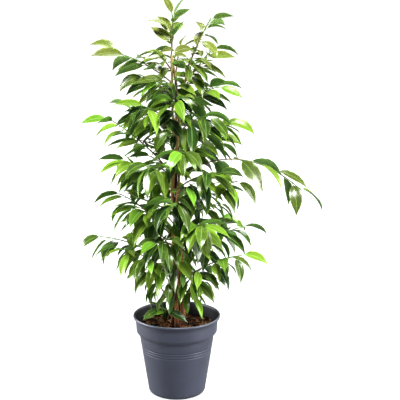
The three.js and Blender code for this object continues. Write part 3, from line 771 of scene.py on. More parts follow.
# Leaf: a blade of a few dozen faces with a petiole. The outline is places along the blade and the
# share of its half width there.
leafLook = {
    "outline": (
        *((0, 0.05), (0.07, 0.46), (0.2, 0.83), (0.38, 1)),
        *((0.56, 0.9), (0.72, 0.6), (0.86, 0.23)),
    ),
    "columns": (-1, -0.5, 0, 0.5, 1),
    "slender": 0.405,
    "thick": 0.8,  # at the midrib; the margins are sharp
    "thinEnds": 0.3,
    "keel": 0.5,  # how far the midrib stands out below
    "cup": 1.3,  # power of the rise from midrib to margin
    "wave": 0.009,  # of the length
    "waves": 1.7,
    "drift": 0.03,  # how far the tip bends sideways, of the length
    "short": 0.98,  # of the planned length, so that no tip reaches out of the part's size
    "roll": 0.16,  # margins turned down, of the half width
    "petiole": ((-0.08, 0.85), (0.5, 0.6), (1.04, 0.62)),  # places along it, and radii
    "petioleSides": 4,
    "petioleSag": 1.1,
    "petioleUv": (0.9, 1.0),
    "twigSides": 8,
    "twigStep": 5,
    "twigFoot": 1.2,
    "twigRadius": (1.575, 0.95),
    "node": (0.3, 2.2),  # swelling where a leaf stands, and its reach
    "bud": ((2.25, 0.95), (4.5, 0.72), (6.75, 0.38)),  # past a twig's tip, and widths
}
# for each slot, how many of its leaves are dark, green and bright
tones = {"dark": (0.64, 0.27, 0.09), "mid": (0.4, 0.41, 0.19), "lime": (0.22, 0.44, 0.34)}
toneLook = {
    "steps": (0.16, 0.52, 0.82),
    "young": 0.3,  # paler towards a twig's tip by this
    "stray": 0.07,
}


def bladeTopology():
    rows, columns = len(leafLook["outline"]), len(leafLook["columns"])
    top = np.arange(rows * columns).reshape(rows, columns)
    below = top.copy()
    below[:, 1:-1] = rows * columns + np.arange(rows * (columns - 2)).reshape(rows, -1)
    tip = below.max() + 1
    t = np.array([place for place, _ in leafLook["outline"]])
    u = (np.array(leafLook["columns"]) + 1) / 2
    flat = np.stack(np.broadcast_arrays(u[None, :], t[:, None]), -1)
    quads, quadUv, tris, triUv = [], [], [], []
    for grid, order in ((top, 1), (below, -1)):
        around = [(0, 0), (1, 0), (1, 1), (0, 1)][::order]
        cuts = [np.s_[a : rows - 1 + a, b : columns - 1 + b] for a, b in around]
        quads.append(np.stack([grid[cut].ravel() for cut in cuts], -1))
        quadUv.append(np.stack([flat[cut].reshape(-1, 2) for cut in cuts], -2))
        fan = [grid[-1, :-1], np.full(columns - 1, tip), grid[-1, 1:]]
        tris.append(np.stack(fan[::order], -1))
        left, right = flat[-1, :-1], flat[-1, 1:]
        middle = np.stack([(left[:, 0] + right[:, 0]) / 2, np.ones(columns - 1)], -1)
        triUv.append(np.stack([left, middle, right][::order], -2))
    quads.append(np.stack([top[0, 1:-2], top[0, 2:-1], below[0, 2:-1], below[0, 1:-2]], -1))
    tris.append([[top[0, 0], top[0, 1], below[0, 1]], [top[0, -2], top[0, -1], below[0, -2]]])
    quadUv.append(np.broadcast_to([0.5, 0.0], (columns - 3, 4, 2)))
    triUv.append(np.broadcast_to([0.5, 0.0], (2, 3, 2)))
    under = [np.repeat([0, 1, 1], [len(part) for part in kind]) for kind in (quads, tris)]
    faces = [np.concatenate(part) for part in (quads, quadUv, tris, triUv)]
    return {"faces": faces, "under": under, "points": tip + 1}


topology = bladeTopology()


# A blade is its midrib's arc carried sideways by the outline. Across it the height is the fold
# times |u| to the power cup, less the rolled margin times u to the fourth, plus a wave along each
# margin times u squared. The lower face is the upper one less the thickness times 1 - u squared.
def bladesShell(leaf, rng):
    look = leafLook
    count = len(leaf["length"])
    t, share = np.array(look["outline"], float).T
    u = np.array(look["columns"], float)
    wide = {key: value[:, None] for key, value in leaf.items()}
    point, side, normal, _ = (way[:, :, None] for way in leafAt(wide, t[None, :]))
    length, fold = (leaf[key][:, None, None] for key in ("length", "fold"))
    half = length * look["slender"] / 2 * share[:, None]
    phase = rng.uniform(0, 2 * np.pi, (count, 1, 2))
    phase = np.where(u < 0, phase[..., :1], phase[..., 1:])
    along = t[:, None]
    swing = np.sin(2 * np.pi * look["waves"] * along + phase) * np.sin(np.pi * along)
    height = half * np.sin(fold) * np.abs(u) ** look["cup"] - half * look["roll"] * u**4
    height = height + length * look["wave"] * swing * u**2
    drift = length * look["drift"] * rng.uniform(-1, 1, count)[:, None, None]
    across = half * np.cos(fold) * u + drift * np.maximum(0, along - 0.5) ** 2 * 4
    grid = point + side * across[..., None] + normal * height[..., None]
    full = look["thinEnds"] + (1 - look["thinEnds"]) * np.minimum(1, share * 2)
    thick = look["thick"] * (1 - u**2) * full[:, None]
    keel = look["keel"] * (u == 0) * (1 - along)
    lower = (grid - normal * (thick + keel)[..., None])[:, :, 1:-1]
    tip = leafAt(leaf, np.ones(count))[0][:, None] + side[:, -1] * drift[:, 0, :, None]
    points = [part.reshape(count, -1, 3) for part in (grid, lower, tip)]
    quads, quadUv, tris, triUv = topology["faces"]
    faceValues = {
        key: [np.repeat(value, len(part)) for part in (quads, tris)]
        for key, value in (("tone", leaf["tone"]), ("pick", rng.uniform(0, 1, count)))
    }
    faceValues["under"] = [np.tile(under, count) for under in topology["under"]]
    step = np.arange(count)[:, None, None] * topology["points"]
    quadUv, triUv = (np.tile(uv, (count, 1, 1, 1)) for uv in (quadUv, triUv))
    return shell(np.concatenate(points, 1), quads + step, quadUv, tris + step, triUv, faceValues)


def plainValues(tone):
    return {"tone": (tone, tone), "pick": (0.5, 0.5), "under": (0.0, 0.0)}


# A petiole is a tube on a parabola that sags a little between the twig and the blade
def petioleShells(leaf):
    s, radii = np.array(leafLook["petiole"]).T[..., None]
    _, side, normal, _ = leafAt(leaf, np.zeros(len(leaf["length"])))
    span = leaf["base"] - leaf["root"]
    sag = leafLook["petioleSag"] * 4 * s * (1 - s)
    paths = leaf["root"][:, None] + span[:, None] * s - normal[:, None] * sag
    rings = ringsRound(paths, side[:, None], normal[:, None], radii, leafLook["petioleSides"])
    return [
        tubeShell(path[0], tube, path[-1], 1, plainValues(tone), leafLook["petioleUv"])
        for path, tube, tone in zip(paths, rings, leaf["tone"])
    ]


# A twig is a tube on its parabola, thicker where each leaf stands and pointed at its tip
def twigShell(twig, leaf):
    t = np.linspace(0, 1, max(6, round(twig["length"] / leafLook["twigStep"])))
    path, way, side = twigPoint(twig, t), twigWay(twig, t), twig["side"]
    thick, thin = leafLook["twigRadius"]
    stood = np.linalg.norm(path[:, None] - leaf["root"][None], axis=-1).min(1)
    node, spread = leafLook["node"]
    radii = np.interp(t, (0, 1), (thick, thin)) * (1 + node * np.exp(-((stood / spread) ** 2)))
    place, narrow = np.array(leafLook["bud"]).T
    path = np.concatenate([path, path[-1] + way[-1] * place[:, None]])
    way = np.concatenate([way, np.repeat(way[-1:], len(place), 0)])
    radii = np.append(radii, radii[-1] * narrow)[:, None]
    rings = ringsRound(path, side, np.cross(way, side), radii, leafLook["twigSides"])
    foot, end = path[0] - way[0] * leafLook["twigFoot"], path[-1] + way[-1] * place[0]
    return tubeShell(foot, rings, end, 1, plainValues(0.5))


# Dark, green and bright leaves are mixed on each spray, and young ones towards a twig's tip are
# paler
def setTones(placed, tone, rng):
    for leaf in placed:
        young = toneLook["young"] * (leaf["along"] - 0.5)
        step = rng.choice(toneLook["steps"], p=tones[tone])
        leaf["tone"] = np.clip(step + young + rng.normal(0, toneLook["stray"]), 0.02, 1)


def sprayShells(index, spray, twig, placed):
    rng = np.random.default_rng(9100 + index)
    setTones(placed, spray["tone"], rng)
    leaf = {key: np.stack([one[key] for one in placed]) for key in placed[0]}
    leaf["length"] = leaf["length"] * leafLook["short"]
    return [bladesShell(leaf, rng), *petioleShells(leaf), twigShell(twig, leaf)]


# Leaf finishes. The UV runs across the blade (0.5 at the midrib) and along it.
leafFinish = {
    "constants": {
        "Specular IOR Level": 0.38,
        "Coat Roughness": 0.14,
        "Subsurface Weight": 0.14,
        "Subsurface Radius": (0.6, 1.0, 0.2),
        "Subsurface Scale": 0.002,
    },
    "ramp": (
        (0.0, (0.005, 0.02, 0.007)),
        (0.26, (0.032, 0.063, 0.013)),
        (0.5, (0.122, 0.19, 0.02)),
        (0.76, (0.128, 0.245, 0.022)),
        (1.0, (0.17, 0.29, 0.034)),
    ),
    "shift": {"dark": -0.03, "mid": 0.0, "lime": 0.04},
    # scale and detail of noise; in some tables its roughness and its stretch in height too
    "blotches": (55, 2),
    "grain": (900, 2),
    "mottle": 0.28,  # how far a leaf strays along the ramp over its face
    "picked": 0.12,  # and from leaf to leaf
    # tints: a colour and the most of it that is mixed in
    "olive": (0.15, 0.205, 0.035, 0.32),
    "olivePicks": (0.55, 0.95),
    "fresh": (0.065, 0.26, 0.02, 0.42),
    "freshPicks": (0.45, 0.05),
    "sunny": (0.15, 0.16, 0.042, 0.76),  # duller and paler towards the light
    "crown": (0.72, 0.86),  # heights of that, m
    "outer": (0.13, 0.25),  # and distances from the cane
    "outerShare": 0.4,
    "edge": (0.42, 0.6, 0.1, 1),
    "edgeWidth": (0.84, 1.0),
    "edgeShare": (0.12, 0.45),  # on an old leaf, and more on a young one
    "rib": (0.3, 0.46, 0.12, 1),
    "ribShare": (0.35, 0.35),
    "ribWidth": (0.085, 0.03),
    "below": (0.13, 0.27, 0.06, 0.62),
    "veins": 9,
    "veinSlant": (1.6, 1.4),
    "veinWidth": (0.72, 1.0),
    "veinEnd": (1.0, 0.86),
    "veinShare": (0.06, 0.04),  # on the upper face, and more on the lower one
    "rough": 0.23,
    "roughBelow": 0.24,
    "glossy": (0.3, 0.12),  # picks with a wet sheen
    "coat": 0.75,
    "relief": (0.5, 0.0002),  # strength, and distance in metres
}


def leafMaterial(tone):
    look = leafFinish
    material, place = newMaterial("leaf_" + tone, look["constants"])
    sideways, along, _ = place.node("UVMap", {"uv_map": "surface"}).parts()
    across = abs(sideways * 2 - 1)
    young, pick, under = (place.held(name) for name in ("tone", "pick", "under"))
    x, y, height = place.parts()
    blotch, grain = (place.noise(*look[key]) for key in ("blotches", "grain"))
    midrib = across.ease(*look["ribWidth"])
    # side veins leave the midrib at a slant and bend towards the tip
    slant, curl = look["veinSlant"]
    phase = along * look["veins"] - across * slant - across * across * curl
    vein = phase.maths("SINE", phase * 2 * math.pi).ease(*look["veinWidth"])
    vein = vein * across.ease(*look["veinEnd"])
    age = young + (blotch - 0.5) * look["mottle"] + (pick - 0.5) * look["picked"]
    colour = (age + look["shift"][tone]).ramp(look["ramp"])
    colour = colour.towards(look["olive"], pick.ease(*look["olivePicks"]))
    colour = colour.towards(look["fresh"], pick.ease(*look["freshPicks"]) * young)
    reach = x.maths("SQRT", x * x + y * y).ease(*look["outer"]) * look["outerShare"]
    light = height.maths("MAXIMUM", height.ease(*look["crown"]), reach)
    colour = colour.towards(look["sunny"], light)
    for tint, where, (least, more), how in (
        ("edge", across.ease(*look["edgeWidth"]), look["edgeShare"], young),
        ("rib", vein, look["veinShare"], under),
        ("rib", midrib, look["ribShare"], young),
    ):
        colour = colour.towards(look[tint], where * (how * more + least))
    colour = colour.towards(look["below"], under)
    quilt = vein * -0.35 - midrib * 1.3 + grain * 0.05 + blotch * 0.3
    rough = look["rough"] + (1 - young) * 0.03 + under * look["roughBelow"]
    rough = rough + (grain - 0.5) * 0.12 + (blotch - 0.5) * 0.1
    coat = pick.ease(*look["glossy"]) * (1 - under) * look["coat"]
    return dress(material, colour, rough, quilt.bumps(*look["relief"]), {"Coat Weight": coat})


# Twigs: brown bark at the root, green and smooth towards the tip
twigFinish = {
    "bark": (0.12, 0.065, 0.03),
    "green": (0.1, 0.19, 0.035),
    "ripe": (0.25, 0.75),  # places along the twig between which it turns green
    "speck": (0.5, 0.42, 0.25, 0.6),
    "mottle": (160, 3),
    "fine": (1400, 2),
    "rough": 0.55,
    "relief": (0.4, 0.0004),
}


def twigMaterial():
    look = twigFinish
    material, place = newMaterial("twig_skin", {"Specular IOR Level": 0.4})
    along = place.node("UVMap", {"uv_map": "surface"}).parts()[1]
    mottle, fine = (place.noise(*look[key]) for key in ("mottle", "fine"))
    ripe = (along + (mottle - 0.5) * 0.5).ease(*look["ripe"])
    colour = ripe.ramp([(0, look["bark"]), (1, look["green"])])
    colour = colour.towards(look["speck"], fine.ease(0.62, 0.7) * (1 - ripe))
    rough = look["rough"] + (fine - 0.5) * 0.2
    return dress(material, colour, rough, (fine + mottle).bumps(*look["relief"]))


skins = {tone: leafMaterial(tone) for tone in tones}
twigSkin = twigMaterial()
for index, (spray, twig, placed) in enumerate(grown):
    shells = sprayShells(index, spray, twig, placed)
    materials = [skins[spray["tone"]], twigSkin]
    node = "spray_" + spray["name"]
    makePiece("leaves_" + spray["name"], shells, materials, "leaf_" + spray["tone"], (node,))
for tone in tones:
    shells = []
    for index, (spray, twig, placed) in enumerate(added):
        if spray["tone"] == tone:
            shells += sprayShells(300 + index, spray, twig, placed)
    makePiece("inner_leaves_" + tone, shells, [skins[tone], twigSkin], "leaf_" + tone)
print("leafy sprays made")


# Woody stems, with ring scars, knots where a twig leaves them and a flare at the soil
stemLook = {
    "sides": 14,
    "step": 4,
    "scar": {"swelling": 0.05, "pitch": 23, "sharpness": 12, "shift": 9},
    "knot": {"swelling": 0.28, "reach": 4.5, "near": 4},
    "flare": {"swelling": 0.4, "reach": 7, "below": 6},
    "ripple": {"depth": 0.035, "pitch": 31},
    "uneven": 0.012,
    "tip": 0.4,  # of the radius at the top
}
barkFinish = {
    # by height: each with its share of the way up from the soil
    "skin": (
        (0.0, (0.09, 0.036, 0.018)),
        (0.09, (0.34, 0.14, 0.055)),
        (0.3, (0.42, 0.215, 0.085)),
        (1.0, (0.33, 0.26, 0.1)),
    ),
    "up": (0.17, 0.6),  # from this height, over this much, in metres
    "crack": (0.07, 0.03, 0.015, 0.7),
    "speck": (0.62, 0.5, 0.34, 0.75),
    "fibres": (520, 4, 0.65, 0.16),
    "specks": (620, 1, 0.55, 1.9),
    "ageing": (26, 3),
    "rough": 0.62,
    "relief": (0.7, 0.0007),
}


# A tube on the stem's twist. Its tapered radius is multiplied by 1 plus each swelling: a cosine of
# height to a high power for the scars, a bell round each knot, an exponential fall above the soil,
# and a wave with two crests round it that turns with height.
def addStem(name, stem, material, index):
    rng = np.random.default_rng(300 + index)
    scar, knot, flare, ripple = (stemLook[key] for key in ("scar", "knot", "flare", "ripple"))
    soilTop = plant["soilTop"]
    z = np.arange(soilTop - plant["rootDepth"] + 1, stem["top"] + 1.5, stemLook["step"])
    z = np.append(z, stem["top"] + 1)
    path = np.concatenate([stemPlace(stem, np.minimum(z, stem["top"])), z[:, None]], 1)
    way = unit(np.gradient(path, axis=0))
    side = unit(np.cross(levelWays[1], way))
    around = np.cos(2 * np.pi * (z + scar["shift"] * index) / scar["pitch"])
    radii = stemRadius(stem, z) * (1 + scar["swelling"] * around ** scar["sharpness"])
    for twig in twigs:
        root = twig["ends"][0]
        far = np.linalg.norm(path - root, axis=1)
        if far.min() < stemRadius(stem, root[2]) + knot["near"]:
            close = np.exp(-((z - root[2]) / knot["reach"]) ** 2)
            radii = radii * (1 + knot["swelling"] * close)
    above = np.exp(-np.maximum(0, z - soilTop) / flare["reach"]) * (z > soilTop - flare["below"])
    radii = (radii * (1 + flare["swelling"] * above))[:, None]
    angle = anglesRound(stemLook["sides"])
    uneven = rng.normal(0, stemLook["uneven"], (len(z), len(angle)))
    wave = np.sin(2 * angle + z[:, None] / ripple["pitch"])
    radii = radii * (1 + ripple["depth"] * wave + uneven)
    rings = ringsRound(path, side, np.cross(way, side), radii, stemLook["sides"])
    tip = path[-1] + way[-1] * stem["thin"] * stemLook["tip"]
    tube = tubeShell(path[0] - way[0], rings, tip)
    return makePiece("bark_" + name, [tube], [material], "bark", (name,))


def barkMaterial():
    look = barkFinish
    material, place = newMaterial("bark_skin", {"Specular IOR Level": 0.3})
    height = place.parts()[2]
    fibres, specks, ageing = (place.noise(*look[key]) for key in ("fibres", "specks", "ageing"))
    low, span = look["up"]
    colour = ((height + (ageing - 0.5) * 0.12 - low) / span).ramp(look["skin"])
    colour = colour.towards(look["crack"], fibres.ease(0.46, 0.34))
    colour = colour.towards(look["speck"], specks.ease(0.68, 0.74))
    rough = look["rough"] + (fibres - 0.5) * 0.3
    relief = (fibres + specks.ease(0.64, 0.74) * 0.6).bumps(*look["relief"])
    return dress(material, colour, rough, relief)


barkSkin = barkMaterial()
for index, (name, stem) in enumerate(stems.items()):
    addStem(name, stem, barkSkin, index)

# Support cane
cane = {"sides": 20, "step": 6, "node": 0.11, "nodePitch": 187, "nodeReach": 2.6}
caneFinish = {
    "dark": (0.016, 0.009, 0.013),
    "worn": (0.075, 0.045, 0.05),
    "fibres": (1500, 3, 0.6, 0.05),
    "patches": (60, 3, 0.55, 0.3),
    "rough": 0.38,
    "relief": (0.4, 0.0004),
}


# An upright tube whose radius swells at its nodes by a bell curve of height
def addCane(material):
    low, high = plant["soilTop"] - plant["rootDepth"] + 1, plant["caneTop"]
    z = np.append(np.arange(low, high - 0.8, cane["step"]), [high - 1, high - 0.2])
    off = (z + 40) % cane["nodePitch"] - cane["nodePitch"] / 2
    radii = plant["caneRadius"] * (1 + cane["node"] * np.exp(-(off / cane["nodeReach"]) ** 2))
    radii[-1] *= 0.8
    path = z[:, None] * up
    tube = tubeShell(path[0], ringsRound(path, *levelWays, radii[:, None], cane["sides"]), path[-1])
    return makePiece("cane", [tube], [material], "cane", ("support_cane",))


def caneMaterial():
    look = caneFinish
    material, place = newMaterial("cane_skin", {"Specular IOR Level": 0.5})
    fibres, patches = (place.noise(*look[key]) for key in ("fibres", "patches"))
    colour = ((fibres + patches) / 2).ramp([(0.42, look["dark"]), (0.68, look["worn"])])
    return dress(material, colour, look["rough"] + fibres * 0.22, fibres.bumps(*look["relief"]))


addCane(caneMaterial())
print("stems and cane made")

# Pot: one profile carried round. Radii and heights are those of the model.
pot = {
    "columns": 240,
    "sharp": 38,
    "height": plant["potHeight"],
    "rim": plant["rimRadius"],
    "collar": plant["collarRadius"],
    "wall": 1.8,
    "draft": 0.03,
    "taper": 0.154,
    "ground": 67,
    "footRise": 3,
    "floorTop": 5.5,
    "footCorner": 13,
    "footInner": 47,
    "innerCorner": 7,
    "padRadius": 16,
    "chamfer": 2,
    "grooveLow": 107,
    "groovePitch": 3.25,
    "grooveDepth": 0.62,
    "crease": (9, 0.9),  # below the collar: its height and depth
    "grooves": 3,
    "ledge": (148, 156.5),
    "drain": {"radius": 4.5, "ring": 34, "count": 5},
    "notch": {"width": 13, "height": 2.6, "points": 24},  # the profile's first 24 may be lifted
}


def bodyRadius(z):
    return pot["ground"] + pot["taper"] * z


def innerRadius(z):
    return bodyRadius(z) - pot["wall"] - pot["draft"]


# Rounds each corner of a polyline: a quadratic curve between two points set back from the corner
# by the given distance along both of its edges
def rounded(corners, steps=5):
    points = np.array([corner[:2] for corner in corners], float)
    path = [points[:1]]
    for k in range(1, len(points) - 1):
        if len(corners[k]) == 2:
            path.append(points[k : k + 1])
            continue
        before, after = points[k - 1] - points[k], points[k + 1] - points[k]
        room = [np.linalg.norm(edge) for edge in (before, after)]
        cut = min(corners[k][2], room[0] * 0.48, room[1] * 0.48)
        a, b = points[k] + before * cut / room[0], points[k] + after * cut / room[1]
        t = np.linspace(0, 1, steps)[:, None]
        path.append((1 - t) ** 2 * a + 2 * t * (1 - t) * points[k] + t**2 * b)
    return np.concatenate([*path, points[-1:]])


def potProfile():
    high, collar, rim = (pot[key] for key in ("height", "collar", "rim"))
    pad, chamfer, foot = (pot[key] for key in ("padRadius", "chamfer", "footInner"))
    low = [
        (0, 0),
        (pad, 0, 0.8),
        (pad + chamfer, pot["footRise"], 0.8),
        (foot - chamfer, pot["footRise"], 0.8),
        (foot, 0, 0.7),
    ]
    size = pot["footCorner"]
    corner = bodyRadius(size) - size
    turn = np.radians(np.linspace(-90, 0, 8))
    bend = [(corner + size * math.cos(a), size * (1 + math.sin(a))) for a in turn]
    start, pitch = pot["grooveLow"], pot["groovePitch"]
    z = np.linspace(start, start + 2 * pitch * pot["grooves"], 37)
    depth = pot["grooveDepth"] * ((1 - np.cos(np.pi * (z - start) / pitch)) / 2) ** 1.5
    grooves = list(zip(bodyRadius(z) - depth, z))
    ledgeLow, ledgeHigh = pot["ledge"]
    crease, creaseDepth = pot["crease"]
    floorTop, inner = pot["floorTop"], pot["innerCorner"]
    upper = [
        (bodyRadius(ledgeLow - crease), ledgeLow - crease, 3),
        (bodyRadius(ledgeLow) - creaseDepth, ledgeLow - 0.7, 0.5),
        (bodyRadius(ledgeLow) + 0.6, ledgeLow + 0.5, 0.5),
        (collar, ledgeHigh, 2.4),
        (collar + 1.4, high - 20, 5),
        (collar + 2.4, high - 9, 1.5),
        (rim - 1, high - 6.5, 1.2),
        (rim, high - 3.5, 1.8),
        (rim - 0.8, high - 0.8, 1.4),
        (rim - 2.6, high, 1.4),
        (rim - 5, high - 1.6, 2),
        (collar - 0.4, high - 20, 5),
        (collar - pot["wall"], ledgeHigh + 1, 2),
        (innerRadius(ledgeLow + 1.5), ledgeLow + 1.5, 2),
        (innerRadius(floorTop + inner), floorTop + inner, 2),
        (innerRadius(floorTop) - inner / 3, floorTop + inner / 4, 1),
        (innerRadius(floorTop) - inner, floorTop, 1),
        (0, floorTop),
    ]
    return rounded([*low, *bend, *grooves, *upper])


# The profile's radius and height for each angle. Under the foot ring the height is lifted to the
# notch height within half a notch width of each notch.
def addPot(material):
    profile = potProfile()
    notch, drain = pot["notch"], pot["drain"]
    angle = anglesRound(pot["columns"])
    middle = 2 * np.pi * (np.arange(drain["count"]) + 0.5) / drain["count"]
    radius, z = profile[1:-1, 0][:, None], profile[1:-1, 1][:, None]
    off = np.abs((angle[:, None] - (middle - np.pi / 8) + np.pi) % (2 * np.pi) - np.pi).min(1)
    inNotch = (off * radius < notch["width"] / 2) & (radius > pot["footInner"] - 3)
    outside = (np.arange(len(z)) < notch["points"])[:, None]
    z = np.where(inNotch & outside & (z < notch["height"]), notch["height"], z)
    radius = np.broadcast_to(radius, z.shape)
    rings = np.stack([radius * np.cos(angle), radius * np.sin(angle), z], -1)
    body = tubeShell(up * profile[0, 1], rings, up * profile[-1, 1])
    piece = makePiece("pot_moulding", [body], [material], "pot", ("pot",), pot["sharp"])
    for at in middle:
        bore(piece, drain["ring"] * math.cos(at), drain["ring"] * math.sin(at))
    piece.data.shade_smooth()
    piece.data.set_sharp_from_angle(angle=math.radians(pot["sharp"]))
    return piece


# Cuts one drain hole
def bore(piece, x, y):
    path = np.array([[x, y, z] for z in (-2.0, 12.0)])
    rings = ringsRound(path, *levelWays, np.full((2, 1), pot["drain"]["radius"]), 24)
    cutter = makePiece("bore", [tubeShell(path[0], rings, path[1])], [], "pot")
    cut = piece.modifiers.new("bore", "BOOLEAN")
    cut.operation = "DIFFERENCE"
    cut.solver = "EXACT"
    cut.object = cutter
    bpy.context.view_layer.update()
    dressed = piece.evaluated_get(bpy.context.evaluated_depsgraph_get())
    holed = bpy.data.meshes.new_from_object(dressed)
    piece.modifiers.clear()
    piece.data = holed
    holed.name = piece.name
    bpy.data.objects.remove(cutter)


potFinish = {
    "base": (0.033, 0.0375, 0.057),
    "shades": (0.9, 1.14),  # from darker to lighter than the base
    "cloud": (14, 4),
    "streaks": (90, 4, 0.6, 0.12),
    "grain": (2600, 2),
    "scratches": (60, 5, 0.7, 14),
    "worn": (0.09, 0.1, 0.125, 1),
    "rimEdge": ((0.1935, 0.197), (0.0975, 0.1015)),  # heights and radii where it is worn
    "dust": (0.16, 0.13, 0.1, 1),
    "splash": 0.03,  # height of the splashes on the foot
    "soiled": ((0.168, 0.176), (0.0992, 0.0965)),  # heights and radii of the dust inside
    "damp": (0.006, 0.006, 0.008, 0.8),  # painted shade: near black on the inner wall, above the soil
    "shadeFrom": (0.158, 0.162),
    "shadeSlope": (0.13, 0.0747, 0.0743),  # the wall between its two faces, and where the painted shade starts
    "rough": 0.44,
    "roughInside": 0.38,
    "relief": (0.3, 0.00025),
}


def potMaterial():
    look = potFinish
    material, place = newMaterial("pot_plastic", {"Specular IOR Level": 0.5})
    x, y, height = place.parts()
    across = x.maths("SQRT", x * x + y * y)
    kinds = ("cloud", "streaks", "grain", "scratches")
    cloud, streaks, grain, scratch = (place.noise(*look[key]) for key in kinds)
    dark, light = (tuple(c * k for c in look["base"]) for k in look["shades"])
    colour = cloud.ramp([(0.3, dark), (0.75, light)])
    edge, soiled = (
        height.ease(*heights) * across.ease(*radii)
        for heights, radii in (look["rimEdge"], look["soiled"])
    )
    colour = colour.towards(look["worn"], edge * (0.35 + 0.4 * streaks))
    colour = colour.towards(look["worn"], scratch.ease(0.66, 0.74) * 0.16)
    splash = height.ease(look["splash"], 0.0) * streaks.ease(0.42, 0.62)
    soiled = soiled * streaks.ease(0.35, 0.7)
    colour = colour.towards(look["dust"], splash * 0.08 + soiled * 0.12)
    slope, *span = look["shadeSlope"]
    # painted shade: the inner wall above the soil is mixed towards near black, as if in the pot's
    # shadow
    inside = height.ease(*look["shadeFrom"]) * (across - height * slope).ease(*span)
    colour = colour.towards(look["damp"], inside)
    rough = look["rough"] + (cloud - 0.5) * 0.1 + (grain - 0.5) * 0.12
    rough = rough + splash * 0.2 + inside * look["roughInside"]
    relief = (grain * 0.6 + streaks * 0.25).bumps(*look["relief"])
    return dress(material, colour, rough, relief)


addPot(potMaterial())
print("pot made")

# Soil: a lumpy body to the floor of the pot, covered by bark chips and coir fibres
soil = {"columns": 96, "topRings": 34, "lump": 0.95, "crown": 1.2}
chips = {
    "count": 1150,
    "within": 93.5,  # radius
    "length": (5, 17),
    "skew": 1.6,  # over 1 leaves few long ones
    "width": (2.6, 6.5),
    "thick": (1.2, 2.8),
    "room": (96.5, 4),  # radius that they may reach, and how far over it
    "wall": 94.6,
    "pitch": 0.2,  # off level, in radians, as is the tilt
    "tilt": 0.3,
    "lift": (0.2, 2.6),
    "pitchLift": 0.3,  # of the length, for one that stands steep
    # for each ring, its place along the chip and its width
    "rings": ((-0.5, 0.5), (-0.2, 1.0), (0.18, 0.95), (0.5, 0.42)),
    "sides": 6,
    "rough": (0.72, 1.2),
    "slide": 0.12,
}
fibres = {
    "count": 240,
    "within": 88,
    "length": (12, 34),
    "bend": 1.3,  # in radians
    "wall": 93,
    "lift": (1.6, 3.4),
    "uneven": 0.35,
    "points": 6,
    "radius": 0.35,
    "sides": 4,
    "tone": 0.75,
}
soilFinish = {
    "dark": (0.012, 0.007, 0.004),
    "brown": (0.09, 0.035, 0.016),
    "red": (0.3, 0.11, 0.045),
    "tan": (0.6, 0.34, 0.17),
    "grey": (0.4, 0.33, 0.26),
    "crumbStops": (0.4, 0.56, 0.72),
    "chipStops": (0.3, 0.44, 0.6, 0.82, 1.0),
    "fibre": (0.42, 0.2, 0.08, 1.2),
    "crumbs": (260, 6, 0.7),
    "patches": (40, 3),
    "crumbRelief": (1.0, 0.003),
    "grain": (480, 4, 0.65, 2.4),
    "mottle": (95, 3),
    "chipRelief": (0.9, 0.0009),
}


# Height of the soil: waves of three lengths, lower towards the wall
def soilHeight(x, y):
    lumps = np.sin(x / 7.1 + 1.3) * np.cos(y / 6.3) + 0.6 * np.sin((x + y) / 3.9)
    lumps = lumps + 0.5 * np.cos((x - 1.7 * y) / 5.2)
    crown = np.cos(np.minimum(np.hypot(x, y) / 95, 1) * np.pi)
    return plant["soilTop"] + soil["lump"] * lumps + soil["crown"] * crown


# Rings up the inner wall of the pot, then rings inwards over the top at the soil's height
def addSoil(material):
    seat = plant["seat"]
    low = pot["floorTop"] + pot["innerCorner"]
    ledgeLow, ledgeHigh = pot["ledge"]
    inner = pot["collar"] - pot["wall"] - seat
    wall = (
        (innerRadius(pot["floorTop"]) - pot["innerCorner"] - seat - 1, pot["floorTop"] + seat),
        (innerRadius(low) - 2 * seat - 0.4, low + seat),
        (innerRadius(ledgeLow + 1.5) - seat - 0.4, ledgeLow + 1.7),
        (inner - 0.6, ledgeHigh + 1.6),
    )
    ways = levelWay(anglesRound(soil["columns"]))
    sides = np.stack([radius * ways + z * up for radius, z in wall])
    top = np.linspace(inner - 0.4, 3, soil["topRings"])[:, None, None] * ways
    top[..., 2] = soilHeight(top[..., 0], top[..., 1])
    body = tubeShell(up * wall[0][1], np.concatenate([sides, top]), up * soilHeight(0.0, 0.0))
    return makePiece("soil_bed", [body], [material], "soil", ("soil",))


